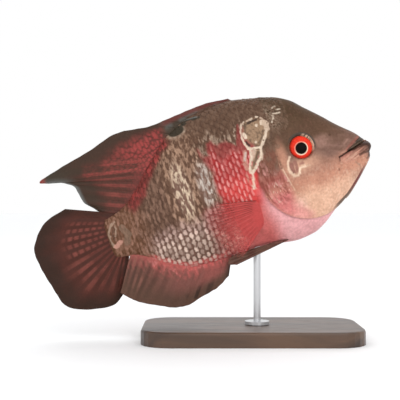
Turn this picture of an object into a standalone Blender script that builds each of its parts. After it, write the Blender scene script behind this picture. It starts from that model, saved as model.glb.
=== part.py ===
"""A flowerhorn cichlid, life size and still, held on a plain display stand.

Metres, +Z up. The head points to +X and the body is pitched nose up, as the fish swims. The origin is the
centre of the model's plan, on the surface that the stand's base rests on.

Places on the fish are given in three shares of its standard length: the station behind the snout tip, the
height above the body axis and the side, which is plus on the fish's left.
"""

import math
from dataclasses import dataclass

import bmesh
import bpy
from mathutils import Matrix, Vector

# Driving sizes
STANDARD_LENGTH = 0.187
PITCH = math.radians(19)
TAIL_ROOT_X = -0.0617
TAIL_ROOT_Z = 0.0697
GAP = 0.0003
GAP_SHARE = GAP / STANDARD_LENGTH

# Body profiles, as (station, value)
BACK = (
    (0.0, 0.012), (0.011, 0.050), (0.074, 0.118), (0.173, 0.222), (0.216, 0.266), (0.266, 0.296),
    (0.354, 0.324), (0.45, 0.343), (0.58, 0.332), (0.694, 0.288), (0.79, 0.215), (0.87, 0.138),
    (0.94, 0.090), (1.0, 0.076),
)
BELLY = (
    (0.0, -0.008), (0.026, -0.050), (0.066, -0.087), (0.122, -0.133), (0.185, -0.168), (0.244, -0.207),
    (0.289, -0.226), (0.351, -0.232), (0.42, -0.222), (0.5, -0.209), (0.6, -0.207), (0.7325, -0.203),
    (0.834, -0.160), (0.895, -0.118), (0.945, -0.090), (1.0, -0.078),
)
HALF_WIDTH = (
    (0.0, 0.0), (0.010, 0.030), (0.030, 0.050), (0.074, 0.066), (0.13, 0.080), (0.2, 0.093),
    (0.3, 0.107), (0.4, 0.113), (0.5, 0.109), (0.6, 0.097), (0.7, 0.079), (0.8, 0.057), (0.9, 0.036),
    (1.0, 0.023),
)
WIDEST_LEVEL = ((0.0, 0.002), (0.1, -0.005), (0.25, -0.02), (0.4, 0.0), (0.6, 0.02), (0.8, 0.01), (1.0, 0.0))
BACK_ROUNDNESS = ((0.0, 2.0), (0.3, 2.05), (0.5, 1.8), (0.7, 1.6), (0.85, 1.7), (1.0, 2.1))
BELLY_ROUNDNESS = ((0.0, 2.0), (0.2, 2.1), (0.35, 2.0), (0.55, 1.75), (0.75, 1.6), (1.0, 2.1))
BODY_RINGS = 46
RING_POINTS = 32
RING_CROWDING = 1.6
PRISM_REACH = 0.4

# Head: the cheek disc is the round rear edge of the gill cover, seen from the side
CHEEK_STATION = 0.2435
CHEEK_HEIGHT = 0.0185
CHEEK_RADIUS = 0.192
CHEEK_TOP = math.radians(55)
CHEEK_BOTTOM = math.radians(-125)
NAPE_STATION = 0.325
HEAD_ARC_STEPS = 20
MOUTH_FRONT = (0.008, 0.0375)
MOUTH_CORNER = (0.112, 0.009)
MOUTH_SLIT = 0.0007
MOUTH_DEPTH = 0.0045
MOUTH_CLEARANCE = 0.004
LIP_RADII = {"upper": 0.0020, "lower": 0.0023}
LIP_SINK = 0.45
LIP_FRONTS = {"upper": (0.012, 0.0495), "lower": (0.0035, 0.022)}
LIP_CORNERS = {"upper": (0.108, 0.021), "lower": (0.108, -0.001)}
LIP_STEPS = 9
EYE_STATION = 0.2347
EYE_HEIGHT = 0.0916
EYE_RADIUS = 0.0076
EYE_HALF_DEPTH = 0.0056
EYE_PROUD = 0.0024
EYE_RIM = 0.0011
NOSTRIL_STATION = 0.128
NOSTRIL_HEIGHT = 0.098
NOSTRIL_RADIUS = 0.0009

# Gill covers
GILL_TOP = math.radians(62)
GILL_BOTTOM = math.radians(-62)
GILL_FRONT_STATION = 0.318
GILL_REAR_RADIUS = 0.198
GILL_FRONT_PROUD = 0.0009
GILL_REAR_PROUD = 0.0018
GILL_COLUMNS = 14
GILL_ROWS = 5

TAIL_STALK_STATION = 0.868

# Stand
BASE_SIZE = Vector((0.150, 0.084, 0.010))
BASE_X = 0.034
BASE_CORNER = 0.020
BASE_CHAMFER = 0.0015
ROD_STATION = 0.508
ROD_RADIUS = 0.0025
ROD_SINK = 0.014
ROD_FOOT_RADIUS = 0.0085
ROD_FOOT_THICKNESS = 0.0022
ROD_SIDES = 24


def through(points, x):
    """Value at x of a smooth curve through (x, value) points, which never swings past its points."""
    xs = [p[0] for p in points]
    values = [p[1] for p in points]
    if x <= xs[0]:
        return values[0]
    if x >= xs[-1]:
        return values[-1]
    slopes = [(values[i + 1] - values[i]) / (xs[i + 1] - xs[i]) for i in range(len(xs) - 1)]

    def tangent(i):
        if i == 0:
            return slopes[0]
        if i == len(xs) - 1:
            return slopes[-1]
        before, after = slopes[i - 1], slopes[i]
        return 0.0 if before * after <= 0 else 2 * before * after / (before + after)

    i = max(k for k in range(len(xs) - 1) if xs[k] <= x)
    width = xs[i + 1] - xs[i]
    s = (x - xs[i]) / width
    return (
        values[i] * (1 + 2 * s) * (1 - s) ** 2
        + tangent(i) * width * s * (1 - s) ** 2
        + values[i + 1] * s * s * (3 - 2 * s)
        + tangent(i + 1) * width * s * s * (s - 1)
    )


def blunt(points, station):
    """A profile that starts blunt at the snout: smooth in the square root of the station."""
    return through([(math.sqrt(p[0]), p[1]) for p in points], math.sqrt(max(station, 0.0)))


def place(station, height, side=0.0):
    """World position of a place on the fish."""
    ahead = (1 - station) * STANDARD_LENGTH
    up = height * STANDARD_LENGTH
    return Vector((
        TAIL_ROOT_X + ahead * math.cos(PITCH) - up * math.sin(PITCH),
        side * STANDARD_LENGTH,
        TAIL_ROOT_Z + ahead * math.sin(PITCH) + up * math.cos(PITCH),
    ))


def flank_side(station, height):
    """How far the body's surface stands from the middle plane at this station and height."""
    level = through(WIDEST_LEVEL, station)
    if height >= level:
        reach = blunt(BACK, station) - level
        roundness = through(BACK_ROUNDNESS, station)
    else:
        reach = level - blunt(BELLY, station)
        roundness = through(BELLY_ROUNDNESS, station)
    share = min(abs(height - level) / max(reach, 1e-6), 1.0)
    return blunt(HALF_WIDTH, station) * (1 - share ** roundness) ** (1 / roundness)


def flank_normal(station, height, hand):
    """Outward direction of the body's surface on one side, in the world."""
    step = 0.004
    along = place(station + step, height, hand * flank_side(station + step, height)) - place(
        station - step, height, hand * flank_side(station - step, height))
    upward = place(station, height + step, hand * flank_side(station, height + step)) - place(
        station, height - step, hand * flank_side(station, height - step))
    normal = along.cross(upward).normalized()
    return normal if normal.y * hand > 0 else -normal


def flank_point(station, height, hand, proud=0.0):
    """World point on one flank, stood off the surface by proud metres."""
    return place(station, height, hand * flank_side(station, height)) + proud * flank_normal(
        station, height, hand)


def ring_station(ring):
    """Station of a body ring. The rings crowd together at the snout."""
    return (ring / BODY_RINGS) ** RING_CROWDING


def ring_point(station, turn, grown):
    """Station, height and side of a point on the body's section, grown outwards by a share."""
    level = through(WIDEST_LEVEL, station)
    if math.sin(turn) >= 0:
        reach = blunt(BACK, station) - level + grown
        roundness = through(BACK_ROUNDNESS, station)
    else:
        reach = level - blunt(BELLY, station) + grown
        roundness = through(BELLY_ROUNDNESS, station)
    width = blunt(HALF_WIDTH, station) + grown
    across, upward = math.cos(turn), math.sin(turn)
    side = width * math.copysign(abs(across) ** (2 / roundness), across)
    height = level + reach * math.copysign(abs(upward) ** (2 / roundness), upward)
    return height, side


def material(name, colour, roughness, metallic=0.0):
    """A Principled material, made once."""
    made = bpy.data.materials.get(name) or bpy.data.materials.new(name)
    made.use_nodes = True
    shader = made.node_tree.nodes["Principled BSDF"]
    shader.inputs["Base Color"].default_value = (*colour, 1.0)
    shader.inputs["Roughness"].default_value = roughness
    shader.inputs["Metallic"].default_value = metallic
    return made


def flesh():
    return material("fish_skin", (0.42, 0.20, 0.17), 0.45)


def fin_tissue():
    return material("fin_tissue", (0.30, 0.08, 0.08), 0.5)


def add_object(name, mesh, finish=None):
    """Links a mesh as a named object, with its faces turned outwards."""
    shape = bmesh.new()
    shape.from_mesh(mesh)
    bmesh.ops.recalc_face_normals(shape, faces=shape.faces[:])
    shape.to_mesh(mesh)
    shape.free()
    made = bpy.data.objects.new(name, mesh)
    bpy.context.scene.collection.objects.link(made)
    if finish:
        mesh.materials.append(finish)
    return made


def mesh_object(name, points, faces, finish=None):
    """A named object from points and faces."""
    mesh = bpy.data.meshes.new(name)
    mesh.from_pydata([tuple(p) for p in points], [], faces)
    return add_object(name, mesh, finish)


def drop(thing):
    """Removes a helper object."""
    bpy.data.objects.remove(thing, do_unlink=True)


def combine(target, operation, helpers):
    """Applies one Boolean of the target with each helper, or with all of them for a union, and removes them."""
    gathered = None
    if operation == "UNION":
        gathered = bpy.data.collections.new("gathered")
        for helper in helpers:
            gathered.objects.link(helper)
        step = target.modifiers.new("join", "BOOLEAN")
        step.operation = operation
        step.solver = "EXACT"
        step.operand_type = "COLLECTION"
        step.collection = gathered
    else:
        for helper in helpers:
            step = target.modifiers.new("cut", "BOOLEAN")
            step.operation = operation
            step.solver = "EXACT"
            step.object = helper
    bpy.context.view_layer.update()
    evaluated = target.evaluated_get(bpy.context.evaluated_depsgraph_get())
    result = bpy.data.meshes.new_from_object(evaluated)
    target.modifiers.clear()
    target.data = result
    for helper in helpers:
        drop(helper)
    if gathered:
        bpy.data.collections.remove(gathered)
    keep_largest(target)


def keep_largest(target):
    """Keeps the closed surface that holds the most volume, and drops every scrap and sealed hollow."""
    shape = bmesh.new()
    shape.from_mesh(target.data)
    bmesh.ops.remove_doubles(shape, verts=shape.verts[:], dist=2e-6)
    unseen = set(shape.faces)
    pieces = []
    while unseen:
        edge_of_piece = [unseen.pop()]
        piece = set(edge_of_piece)
        while edge_of_piece:
            face = edge_of_piece.pop()
            for edge in face.edges:
                for other in edge.link_faces:
                    if other in unseen:
                        unseen.discard(other)
                        piece.add(other)
                        edge_of_piece.append(other)
        pieces.append(piece)

    def volume(piece):
        total = 0.0
        for face in piece:
            corners = [v.co for v in face.verts]
            for i in range(1, len(corners) - 1):
                total += corners[0].dot(corners[i].cross(corners[i + 1])) / 6
        return total

    largest = max(pieces, key=volume)
    scraps = [face for piece in pieces if piece is not largest for face in piece]
    bmesh.ops.delete(shape, geom=scraps, context="FACES")
    shape.to_mesh(target.data)
    shape.free()


def shade(thing, angle=math.radians(40)):
    """Shades a round piece smooth, with its sharp edges kept."""
    thing.data.shade_smooth()
    thing.data.set_sharp_from_angle(angle=angle)


def body_mesh(name, grown=0.0):
    """The whole body without fins as one closed mesh, grown outwards by a share of the length."""
    points = [place(-grown, (blunt(BACK, 0) + blunt(BELLY, 0)) / 2)]
    for ring in range(1, BODY_RINGS + 1):
        station = ring_station(ring)
        for i in range(RING_POINTS):
            height, side = ring_point(station, 2 * math.pi * i / RING_POINTS, grown)
            points.append(place(station + (grown if ring == BODY_RINGS else 0.0), height, side))
    faces = [(0, 1 + i, 1 + (i + 1) % RING_POINTS) for i in range(RING_POINTS)]
    for ring in range(BODY_RINGS - 1):
        first = 1 + ring * RING_POINTS
        for i in range(RING_POINTS):
            a, b = first + i, first + (i + 1) % RING_POINTS
            faces.append((a, a + RING_POINTS, b + RING_POINTS, b))
    last = 1 + (BODY_RINGS - 1) * RING_POINTS
    faces.append(tuple(last + i for i in range(RING_POINTS)))
    return mesh_object(name, points, faces, flesh())


def prism(name, outline):
    """A closed cutter through the whole fish, from an outline of (station, height) points."""
    count = len(outline)
    points = [place(s, h, -PRISM_REACH) for s, h in outline] + [place(s, h, PRISM_REACH) for s, h in outline]
    faces = [tuple(range(count)), tuple(range(count, 2 * count))]
    faces += [(i, (i + 1) % count, (i + 1) % count + count, i + count) for i in range(count)]
    return mesh_object(name, points, faces)


def cheek_point(turn, radius):
    """Station and height on the cheek disc. Turn is measured from its rear, plus upwards."""
    return CHEEK_STATION + radius * math.cos(turn), CHEEK_HEIGHT + radius * math.sin(turn)


def head_outline(gap):
    """Outline of the head's prism: the nape, then round the gill cover's edge to the throat."""
    outline = [(-0.2, 0.5), (NAPE_STATION + gap, 0.5)]
    for i in range(HEAD_ARC_STEPS + 1):
        turn = CHEEK_TOP + (CHEEK_BOTTOM - CHEEK_TOP) * i / HEAD_ARC_STEPS
        outline.append(cheek_point(turn, CHEEK_RADIUS + gap))
    return outline + [(0.09 + gap, -0.4), (-0.2, -0.4)]


def tail_outline(gap):
    """Outline of the tail stalk's prism."""
    front = TAIL_STALK_STATION - gap
    return [(front, 0.5), (1.2, 0.5), (1.2, -0.5), (front, -0.5)]


def ellipsoid(name, centre, axis, radius, half_depth, segments=18, rings=10):
    """A closed ellipsoid, round about its axis."""
    shape = bmesh.new()
    bmesh.ops.create_uvsphere(shape, u_segments=segments, v_segments=rings, radius=1.0)
    turn = axis.to_track_quat("Z", "Y").to_matrix().to_4x4()
    size = Matrix.Diagonal((radius, radius, half_depth, 1.0))
    bmesh.ops.transform(shape, matrix=Matrix.Translation(centre) @ turn @ size, verts=shape.verts[:])
    mesh = bpy.data.meshes.new(name)
    shape.to_mesh(mesh)
    shape.free()
    return add_object(name, mesh)


def tube(name, path, radii, sides=8):
    """A closed tube along a path, with its own radius at each point and flat ends."""
    points = []
    for i, at in enumerate(path):
        ahead = (path[min(i + 1, len(path) - 1)] - path[max(i - 1, 0)]).normalized()
        across = ahead.cross(Vector((0.3, 0.0, 1.0))).normalized()
        lift = across.cross(ahead)
        for k in range(sides):
            turn = 2 * math.pi * k / sides
            points.append(at + radii[i] * (math.cos(turn) * across + math.sin(turn) * lift))
    faces = [tuple(range(sides)), tuple(range(len(points) - sides, len(points)))]
    for i in range(len(path) - 1):
        for k in range(sides):
            a, b = i * sides + k, i * sides + (k + 1) % sides
            faces.append((a, b, b + sides, a + sides))
    return mesh_object(name, points, faces)


def ring_tube(name, centre, axis, radius, thickness, segments=26, sides=6):
    """A closed torus about an axis."""
    points = []
    turn = axis.to_track_quat("Z", "Y")
    for i in range(segments):
        around = 2 * math.pi * i / segments
        outward = Vector((math.cos(around), math.sin(around), 0.0))
        for k in range(sides):
            roll = 2 * math.pi * k / sides
            local = outward * (radius + thickness * math.cos(roll)) + Vector((0, 0, thickness * math.sin(roll)))
            points.append(centre + turn @ local)
    faces = []
    for i in range(segments):
        for k in range(sides):
            a, b = i * sides + k, i * sides + (k + 1) % sides
            c, d = (i + 1) % segments * sides + (k + 1) % sides, (i + 1) % segments * sides + k
            faces.append((a, b, c, d))
    return mesh_object(name, points, faces)


def round_mouth(front, corner):
    """Steps from the right corner of the mouth round to the left: side, bend from 0 to 1, station, height."""
    for i in range(-LIP_STEPS, LIP_STEPS + 1):
        bend = 1 - math.cos(math.pi / 2 * i / LIP_STEPS)
        hand = (i > 0) - (i < 0)
        yield hand, bend, front[0] + (corner[0] - front[0]) * bend, front[1] + (corner[1] - front[1]) * bend


def lip(name):
    """One lip: a tapering roll on the head's surface, from one corner of the mouth to the other."""
    path, radii = [], []
    for hand, bend, station, height in round_mouth(LIP_FRONTS[name], LIP_CORNERS[name]):
        radius = LIP_RADII[name] * (1 - 0.35 * bend)
        sink = radius * (LIP_SINK + (1 - LIP_SINK) * bend ** 4)
        path.append(flank_point(station, height, hand, -sink) if hand else place(station, height))
        radii.append(radius)
    return tube(f"{name}_lip", path, radii)


def mouth_slit():
    """The thin cutter that parts the lips, a flat band from one corner of the mouth to the other."""
    gape = (place(*MOUTH_CORNER) - place(*MOUTH_FRONT)).normalized()
    upward = gape.cross(Vector((0, 1, 0)))
    lift = MOUTH_SLIT / 2 * upward
    points = []
    for hand, _, station, height in round_mouth(MOUTH_FRONT, MOUTH_CORNER):
        outward = flank_normal(station, height, hand) if hand else -gape
        outward = (outward - outward.dot(upward) * upward).normalized()
        edge = flank_point(station, height, hand) if hand else place(station, height)
        for reach in (MOUTH_CLEARANCE, -MOUTH_DEPTH):
            points += [edge + reach * outward + lift, edge + reach * outward - lift]
    last = len(points) - 4
    faces = [(0, 1, 3, 2), (last, last + 1, last + 3, last + 2)]
    for at in range(0, last, 4):
        faces += [(at + a, at + b, at + b + 4, at + a + 4) for a, b in ((0, 1), (1, 3), (3, 2), (2, 0))]
    return mesh_object("mouth_slit", points, faces)


def eye_seat(hand):
    """Centre and outward axis of an eye."""
    axis = flank_normal(EYE_STATION, EYE_HEIGHT, hand)
    centre = flank_point(EYE_STATION, EYE_HEIGHT, hand, EYE_PROUD - EYE_HALF_DEPTH)
    return centre, axis


def make_head():
    """The head, with its lips, eye rims, eye sockets, nostrils and the line of the mouth."""
    head = body_mesh("head")
    combine(head, "INTERSECT", [prism("head_keep", head_outline(0.0))])
    grown = [lip("upper"), lip("lower")]
    sunk = [mouth_slit()]
    for hand in (-1, 1):
        centre, axis = eye_seat(hand)
        rim = flank_point(EYE_STATION, EYE_HEIGHT, hand, -0.0001)
        grown.append(ring_tube("eye_rim", rim, axis, EYE_RADIUS + 0.5 * EYE_RIM, EYE_RIM))
        sunk.append(ellipsoid("socket", centre, axis, EYE_RADIUS + GAP, EYE_HALF_DEPTH + GAP))
        pit = flank_point(NOSTRIL_STATION, NOSTRIL_HEIGHT, hand)
        outward = flank_normal(NOSTRIL_STATION, NOSTRIL_HEIGHT, hand)
        sunk.append(ellipsoid("nostril", pit, outward, NOSTRIL_RADIUS, 0.0018, segments=8, rings=6))
    combine(head, "UNION", grown)
    combine(head, "DIFFERENCE", sunk)
    shade(head)
    return head


def make_torso():
    """The trunk from the gill covers back, with the throat and a socket for the stand's rod."""
    torso = body_mesh("torso")
    cutters = [prism("head_room", head_outline(GAP_SHARE)), prism("tail_room", tail_outline(GAP_SHARE))]
    cutters.append(rod_cylinder("rod_socket", ROD_RADIUS + GAP, rod_top() + GAP, rod_top() - 0.1))
    combine(torso, "DIFFERENCE", cutters)
    shade(torso)
    return torso


def make_tail_stalk():
    """The short stalk between the trunk and the tail fin."""
    stalk = body_mesh("tail_stalk")
    combine(stalk, "INTERSECT", [prism("tail_keep", tail_outline(0.0))])
    shade(stalk)
    return stalk


def make_eye(name, hand):
    """An eyeball, domed out of its socket."""
    centre, axis = eye_seat(hand)
    eye = ellipsoid(name, centre, axis, EYE_RADIUS, EYE_HALF_DEPTH)
    eye.data.materials.append(material("eye_red", (0.85, 0.08, 0.03), 0.15))
    shade(eye)
    return eye


def thin_plate(name, outer, inner, finish):
    """A closed plate between two grids of points, split into triangles alike on both faces."""
    rows, columns = len(outer), len(outer[0])
    points = [p for row in outer for p in row] + [p for row in inner for p in row]
    under = rows * columns
    faces = []
    for i in range(rows - 1):
        for j in range(columns - 1):
            a, b = i * columns + j, i * columns + j + 1
            c, d = b + columns, a + columns
            faces += [(a, b, c), (a, c, d)]
            faces += [(a + under, c + under, b + under), (a + under, d + under, c + under)]
    rim = [j for j in range(columns - 1)]
    rim += [i * columns + columns - 1 for i in range(rows - 1)]
    rim += [(rows - 1) * columns + j for j in range(columns - 1, 0, -1)]
    rim += [i * columns for i in range(rows - 1, 0, -1)]
    for k, a in enumerate(rim):
        b = rim[(k + 1) % len(rim)]
        faces += [(a, a + under, b + under), (a, b + under, b)]
    return mesh_object(name, points, faces, finish)


def make_gill_cover(name, hand):
    """A curved plate over the rear of the head, whose free edge stands out over the trunk."""
    outer, inner = [], []
    for i in range(GILL_ROWS + 1):
        back = i / GILL_ROWS
        outer_row, inner_row = [], []
        for j in range(GILL_COLUMNS + 1):
            turn = GILL_BOTTOM + (GILL_TOP - GILL_BOTTOM) * j / GILL_COLUMNS
            front_radius = (GILL_FRONT_STATION - CHEEK_STATION) / math.cos(turn)
            station, height = cheek_point(turn, front_radius + (GILL_REAR_RADIUS - front_radius) * back)
            taper = math.sin(math.pi * j / GILL_COLUMNS) ** 0.5
            proud = GILL_FRONT_PROUD + (GILL_REAR_PROUD - GILL_FRONT_PROUD) * back ** 2 * taper
            outer_row.append(flank_point(station, height, hand, proud))
            inner_row.append(flank_point(station, height, hand, GAP))
        outer.append(outer_row)
        inner.append(inner_row)
    cover = thin_plate(name, outer, inner, flesh())
    shade(cover)
    return cover


@dataclass(frozen=True)
class Fin:
    """A rayed fin. A spoke is a ray's root and tip, each a (station, height); more rays lie between spokes."""

    name: str
    spokes: tuple
    rays_between: int
    root_half: float
    ray_half: float
    sway: object
    bow: float = 0.0
    web_half: float = 0.0003
    root_length: float = 0.14

    def spoke(self, position):
        """Root and tip of the ray at a position counted in spokes."""
        numbers = [
            through([(i, spoke[end][k]) for i, spoke in enumerate(self.spokes)], position)
            for end in (0, 1) for k in (0, 1)
        ]
        return numbers[:2], numbers[2:]

    def columns(self):
        """Positions across the fin, each with 1 on a ray's crest and 0 on the web."""
        rays = (len(self.spokes) - 1) * self.rays_between
        for ray in range(rays):
            for across, crest in ((0.0, 1.0), (0.24, 0.0), (0.76, 0.0)):
                yield (ray + across) / self.rays_between, crest
        yield float(len(self.spokes) - 1), 1.0

    def point(self, position, out):
        """World point on the fin's middle sheet, out from 0 at the root to 1 at the margin."""
        root, tip = self.spoke(position)
        along, rise = tip[0] - root[0], tip[1] - root[1]
        bend = 4 * self.bow * out * (1 - out)
        station = root[0] + along * out - rise * bend
        height = root[1] + rise * out + along * bend
        return place(station, height, self.sway(position / (len(self.spokes) - 1), out, root))

    def half_thickness(self, across, out, crest):
        """Half the fin's thickness: ridged rays on a thin web, and a root that is fleshy away from its ends."""
        body = self.ray_half if crest else self.web_half
        thin = body + (self.web_half - body) * out ** 2
        flare = max(0.0, 1 - out / self.root_length) ** 1.5 * (1 - (2 * across - 1) ** 4)
        return thin + (self.root_half - thin) * flare


FIN_ROWS = (0.0, 0.05, 0.11, 0.2, 0.42, 0.68, 0.88, 1.0)


def make_fin(fin, body_room):
    """A fin's solid, its root cut to sit on the body."""
    columns = list(fin.columns())
    middle = [[fin.point(position, out) for position, _ in columns] for out in FIN_ROWS]
    outer, inner = [], []
    for i, out in enumerate(FIN_ROWS):
        outer_row, inner_row = [], []
        for j, (position, crest) in enumerate(columns):
            share = position / (len(fin.spokes) - 1)
            ahead = middle[min(i + 1, len(FIN_ROWS) - 1)][j] - middle[max(i - 1, 0)][j]
            across = middle[i][min(j + 1, len(columns) - 1)] - middle[i][max(j - 1, 0)]
            half = fin.half_thickness(share, out, crest) * ahead.cross(across).normalized()
            outer_row.append(middle[i][j] + half)
            inner_row.append(middle[i][j] - half)
        outer.append(outer_row)
        inner.append(inner_row)
    made = thin_plate(fin.name, outer, inner, fin_tissue())
    room = body_room.copy()
    bpy.context.scene.collection.objects.link(room)
    combine(made, "DIFFERENCE", [room])
    shade(made, math.radians(55))
    return made


ROOT_SINK = 0.018


def on_back(station, tip_station, tip_height):
    """A dorsal spoke, rooted just under the back."""
    return (station, blunt(BACK, station) - ROOT_SINK), (tip_station, tip_height)


def on_belly(station, tip_station, tip_height):
    """An anal spoke, rooted just inside the belly."""
    return (station, blunt(BELLY, station) + ROOT_SINK), (tip_station, tip_height)


def dorsal_fin():
    """The dorsal fin: spines folded low along the back, then soft rays that trail to a point."""
    spokes = (
        on_back(0.405, 0.432, 0.348), on_back(0.47, 0.525, 0.358), on_back(0.55, 0.625, 0.353),
        on_back(0.63, 0.735, 0.346), on_back(0.70, 0.855, 0.362), on_back(0.735, 0.985, 0.331),
        on_back(0.765, 1.10, 0.308), on_back(0.795, 1.192, 0.281), on_back(0.825, 1.118, 0.256),
        on_back(0.86, 1.073, 0.222), on_back(0.90, 1.062, 0.165), on_back(0.95, 1.02, 0.112),
    )
    return Fin("dorsal_fin", spokes, 2, 0.0020, 0.0008, lambda f, out, _: 0.016 * f * out ** 2)


def tail_fin():
    """The rounded tail fin, fanned a little below the body axis."""
    spokes = (
        ((0.975, 0.070), (1.13, 0.158)), ((0.985, 0.055), (1.205, 0.140)), ((0.985, 0.038), (1.262, 0.095)),
        ((0.985, 0.020), (1.292, 0.035)), ((0.985, 0.0), (1.285, -0.035)), ((0.985, -0.020), (1.27, -0.105)),
        ((0.985, -0.038), (1.252, -0.175)), ((0.985, -0.054), (1.175, -0.222)),
        ((0.980, -0.066), (1.085, -0.238)), ((0.962, -0.072), (1.014, -0.198)),
    )
    return Fin(
        "tail_fin", spokes, 2, 0.0034, 0.0009,
        lambda f, out, _: 0.006 * f ** 3 + 0.020 * (1.6 * f - 0.6) * out ** 1.5, bow=-0.03, root_length=0.25,
    )


def anal_fin():
    """The anal fin, swept back under the tail stalk."""
    spokes = (
        on_belly(0.60, 0.640, -0.272), on_belly(0.64, 0.70, -0.302), on_belly(0.69, 0.765, -0.3135),
        on_belly(0.74, 0.815, -0.325), on_belly(0.79, 0.86, -0.319), on_belly(0.84, 0.915, -0.293),
        on_belly(0.89, 0.985, -0.253), on_belly(0.95, 1.022, -0.207),
    )
    return Fin(
        "anal_fin", spokes, 2, 0.0021, 0.0009, lambda f, out, _: -0.0065 * f ** 3 - 0.016 * f * out ** 1.2)


def pectoral_fin(name, hand):
    """A pectoral fin, fanned back along the flank and a little away from it."""
    spokes = (
        ((0.445, -0.045), (0.628, 0.002)), ((0.447, -0.062), (0.655, -0.045)),
        ((0.449, -0.078), (0.665, -0.10)), ((0.451, -0.094), (0.655, -0.155)),
        ((0.453, -0.110), (0.625, -0.20)), ((0.455, -0.125), (0.585, -0.225)),
    )

    def sway(f, out, root):
        away = -0.012 + 0.050 * out ** 0.7 - 0.012 * (2 * f - 1) ** 2 * out
        return hand * (flank_side(*root) + away)

    return Fin(name, spokes, 2, 0.0014, 0.0006, sway, root_length=0.2)


def pelvic_fin(name, hand):
    """A pelvic fin, folded back under the belly."""
    spokes = (
        ((0.392, -0.214), (0.600, -0.238)), ((0.400, -0.213), (0.628, -0.228)),
        ((0.410, -0.211), (0.622, -0.219)), ((0.422, -0.208), (0.585, -0.214)),
    )

    def sway(f, out, _):
        return hand * (0.036 + 0.020 * out - 0.014 * f * out)

    return Fin(name, spokes, 2, 0.0013, 0.0007, sway, root_length=0.2)


def rod_place():
    """Where the rod's line meets the belly."""
    return place(ROD_STATION, blunt(BELLY, ROD_STATION))


def rod_top():
    return rod_place().z + ROD_SINK


def rod_cylinder(name, radius, top, bottom):
    """A closed upright cylinder on the rod's line."""
    shape = bmesh.new()
    bmesh.ops.create_cone(
        shape, cap_ends=True, segments=ROD_SIDES, radius1=radius, radius2=radius, depth=top - bottom)
    at = Vector((rod_place().x, 0.0, (top + bottom) / 2))
    bmesh.ops.translate(shape, verts=shape.verts[:], vec=at)
    mesh = bpy.data.meshes.new(name)
    shape.to_mesh(mesh)
    shape.free()
    return add_object(name, mesh)


def make_stand():
    """The flat base, and the one short rod that holds the fish."""
    shape = bmesh.new()
    bmesh.ops.create_cube(shape, size=1.0)
    bmesh.ops.scale(shape, vec=BASE_SIZE, verts=shape.verts[:])
    upright = [e for e in shape.edges if abs(e.verts[0].co.z - e.verts[1].co.z) > BASE_SIZE.z / 2]
    bmesh.ops.bevel(shape, geom=upright, offset=BASE_CORNER, segments=6, profile=0.5, affect="EDGES")
    rim = [e for e in shape.edges if min(v.co.z for v in e.verts) > BASE_SIZE.z * 0.49]
    bmesh.ops.bevel(shape, geom=rim, offset=BASE_CHAMFER, segments=2, profile=0.5, affect="EDGES")
    bmesh.ops.translate(shape, vec=(BASE_X, 0.0, BASE_SIZE.z / 2), verts=shape.verts[:])
    mesh = bpy.data.meshes.new("stand_base")
    shape.to_mesh(mesh)
    shape.free()
    base = add_object("stand_base", mesh, material("stand_wood", (0.10, 0.055, 0.03), 0.4))
    shade(base)
    floor = BASE_SIZE.z + GAP
    rod = rod_cylinder("stand_rod", ROD_RADIUS, rod_top(), floor)
    rod.data.materials.append(material("stand_steel", (0.55, 0.55, 0.56), 0.3, 1.0))
    foot = rod_cylinder("rod_foot", ROD_FOOT_RADIUS, floor + ROD_FOOT_THICKNESS, floor)
    combine(rod, "UNION", [foot])
    shade(rod)


def main():
    for thing in list(bpy.data.objects):
        drop(thing)
    make_head()
    make_torso()
    make_tail_stalk()
    body_room = body_mesh("body_room", GAP_SHARE * 1.3)
    body_room.hide_render = True
    body_room.display_type = "WIRE"
    for fin in (dorsal_fin(), tail_fin(), anal_fin()):
        make_fin(fin, body_room)
    for side, hand in (("right", -1), ("left", 1)):
        make_eye(f"eye_{side}", hand)
        make_gill_cover(f"gill_cover_{side}", hand)
        make_fin(pectoral_fin(f"pectoral_fin_{side}", hand), body_room)
        make_fin(pelvic_fin(f"pelvic_fin_{side}", hand), body_room)
    drop(body_room)
    make_stand()


main()
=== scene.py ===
"""Dresses the solids of a life-size flowerhorn cichlid on its display stand.

The body is described in shares of the fish's standard length: the station behind the snout tip, the height
above the body axis and the side, plus on the fish's left. The markings are described in body millimetres:
along, behind the snout tip, and above, over the body axis.
"""

import itertools
import logging
import math
from dataclasses import dataclass, replace
from enum import Enum
from functools import partial
from typing import Callable, Sequence

import bmesh
import bpy
import numpy as np
from bpy.types import ID, Material, Mesh, Node, NodeSocket, NodeTree, Object
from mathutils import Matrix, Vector


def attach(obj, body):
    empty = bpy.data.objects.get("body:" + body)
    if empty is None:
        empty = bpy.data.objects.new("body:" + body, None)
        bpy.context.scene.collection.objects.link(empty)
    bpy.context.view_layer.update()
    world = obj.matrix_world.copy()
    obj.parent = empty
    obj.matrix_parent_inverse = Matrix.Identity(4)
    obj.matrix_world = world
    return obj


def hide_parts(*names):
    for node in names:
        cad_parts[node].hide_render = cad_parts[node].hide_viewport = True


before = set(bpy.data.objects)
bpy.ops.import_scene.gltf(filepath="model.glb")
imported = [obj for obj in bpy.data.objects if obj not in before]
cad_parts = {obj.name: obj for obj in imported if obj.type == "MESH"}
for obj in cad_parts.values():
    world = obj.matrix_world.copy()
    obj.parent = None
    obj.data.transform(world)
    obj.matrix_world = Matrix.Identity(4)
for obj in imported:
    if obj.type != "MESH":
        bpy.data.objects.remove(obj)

log = logging.getLogger("flowerhorn")

Array = np.ndarray
Knots = Sequence[tuple[float, float]]
Path = Sequence[tuple[float, float]]
Spoke = tuple[float, float, float, float]
Stroke = tuple[Path, float, "Tone", float]
Inputs = dict[str | int, object]
Sway = Callable[[Array, Array, Array, Array], Array]

MM = 0.001
BODY_MM = 187.0
ROOT_SINK = 0.018
SLOPE_STEP = 0.004

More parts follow.
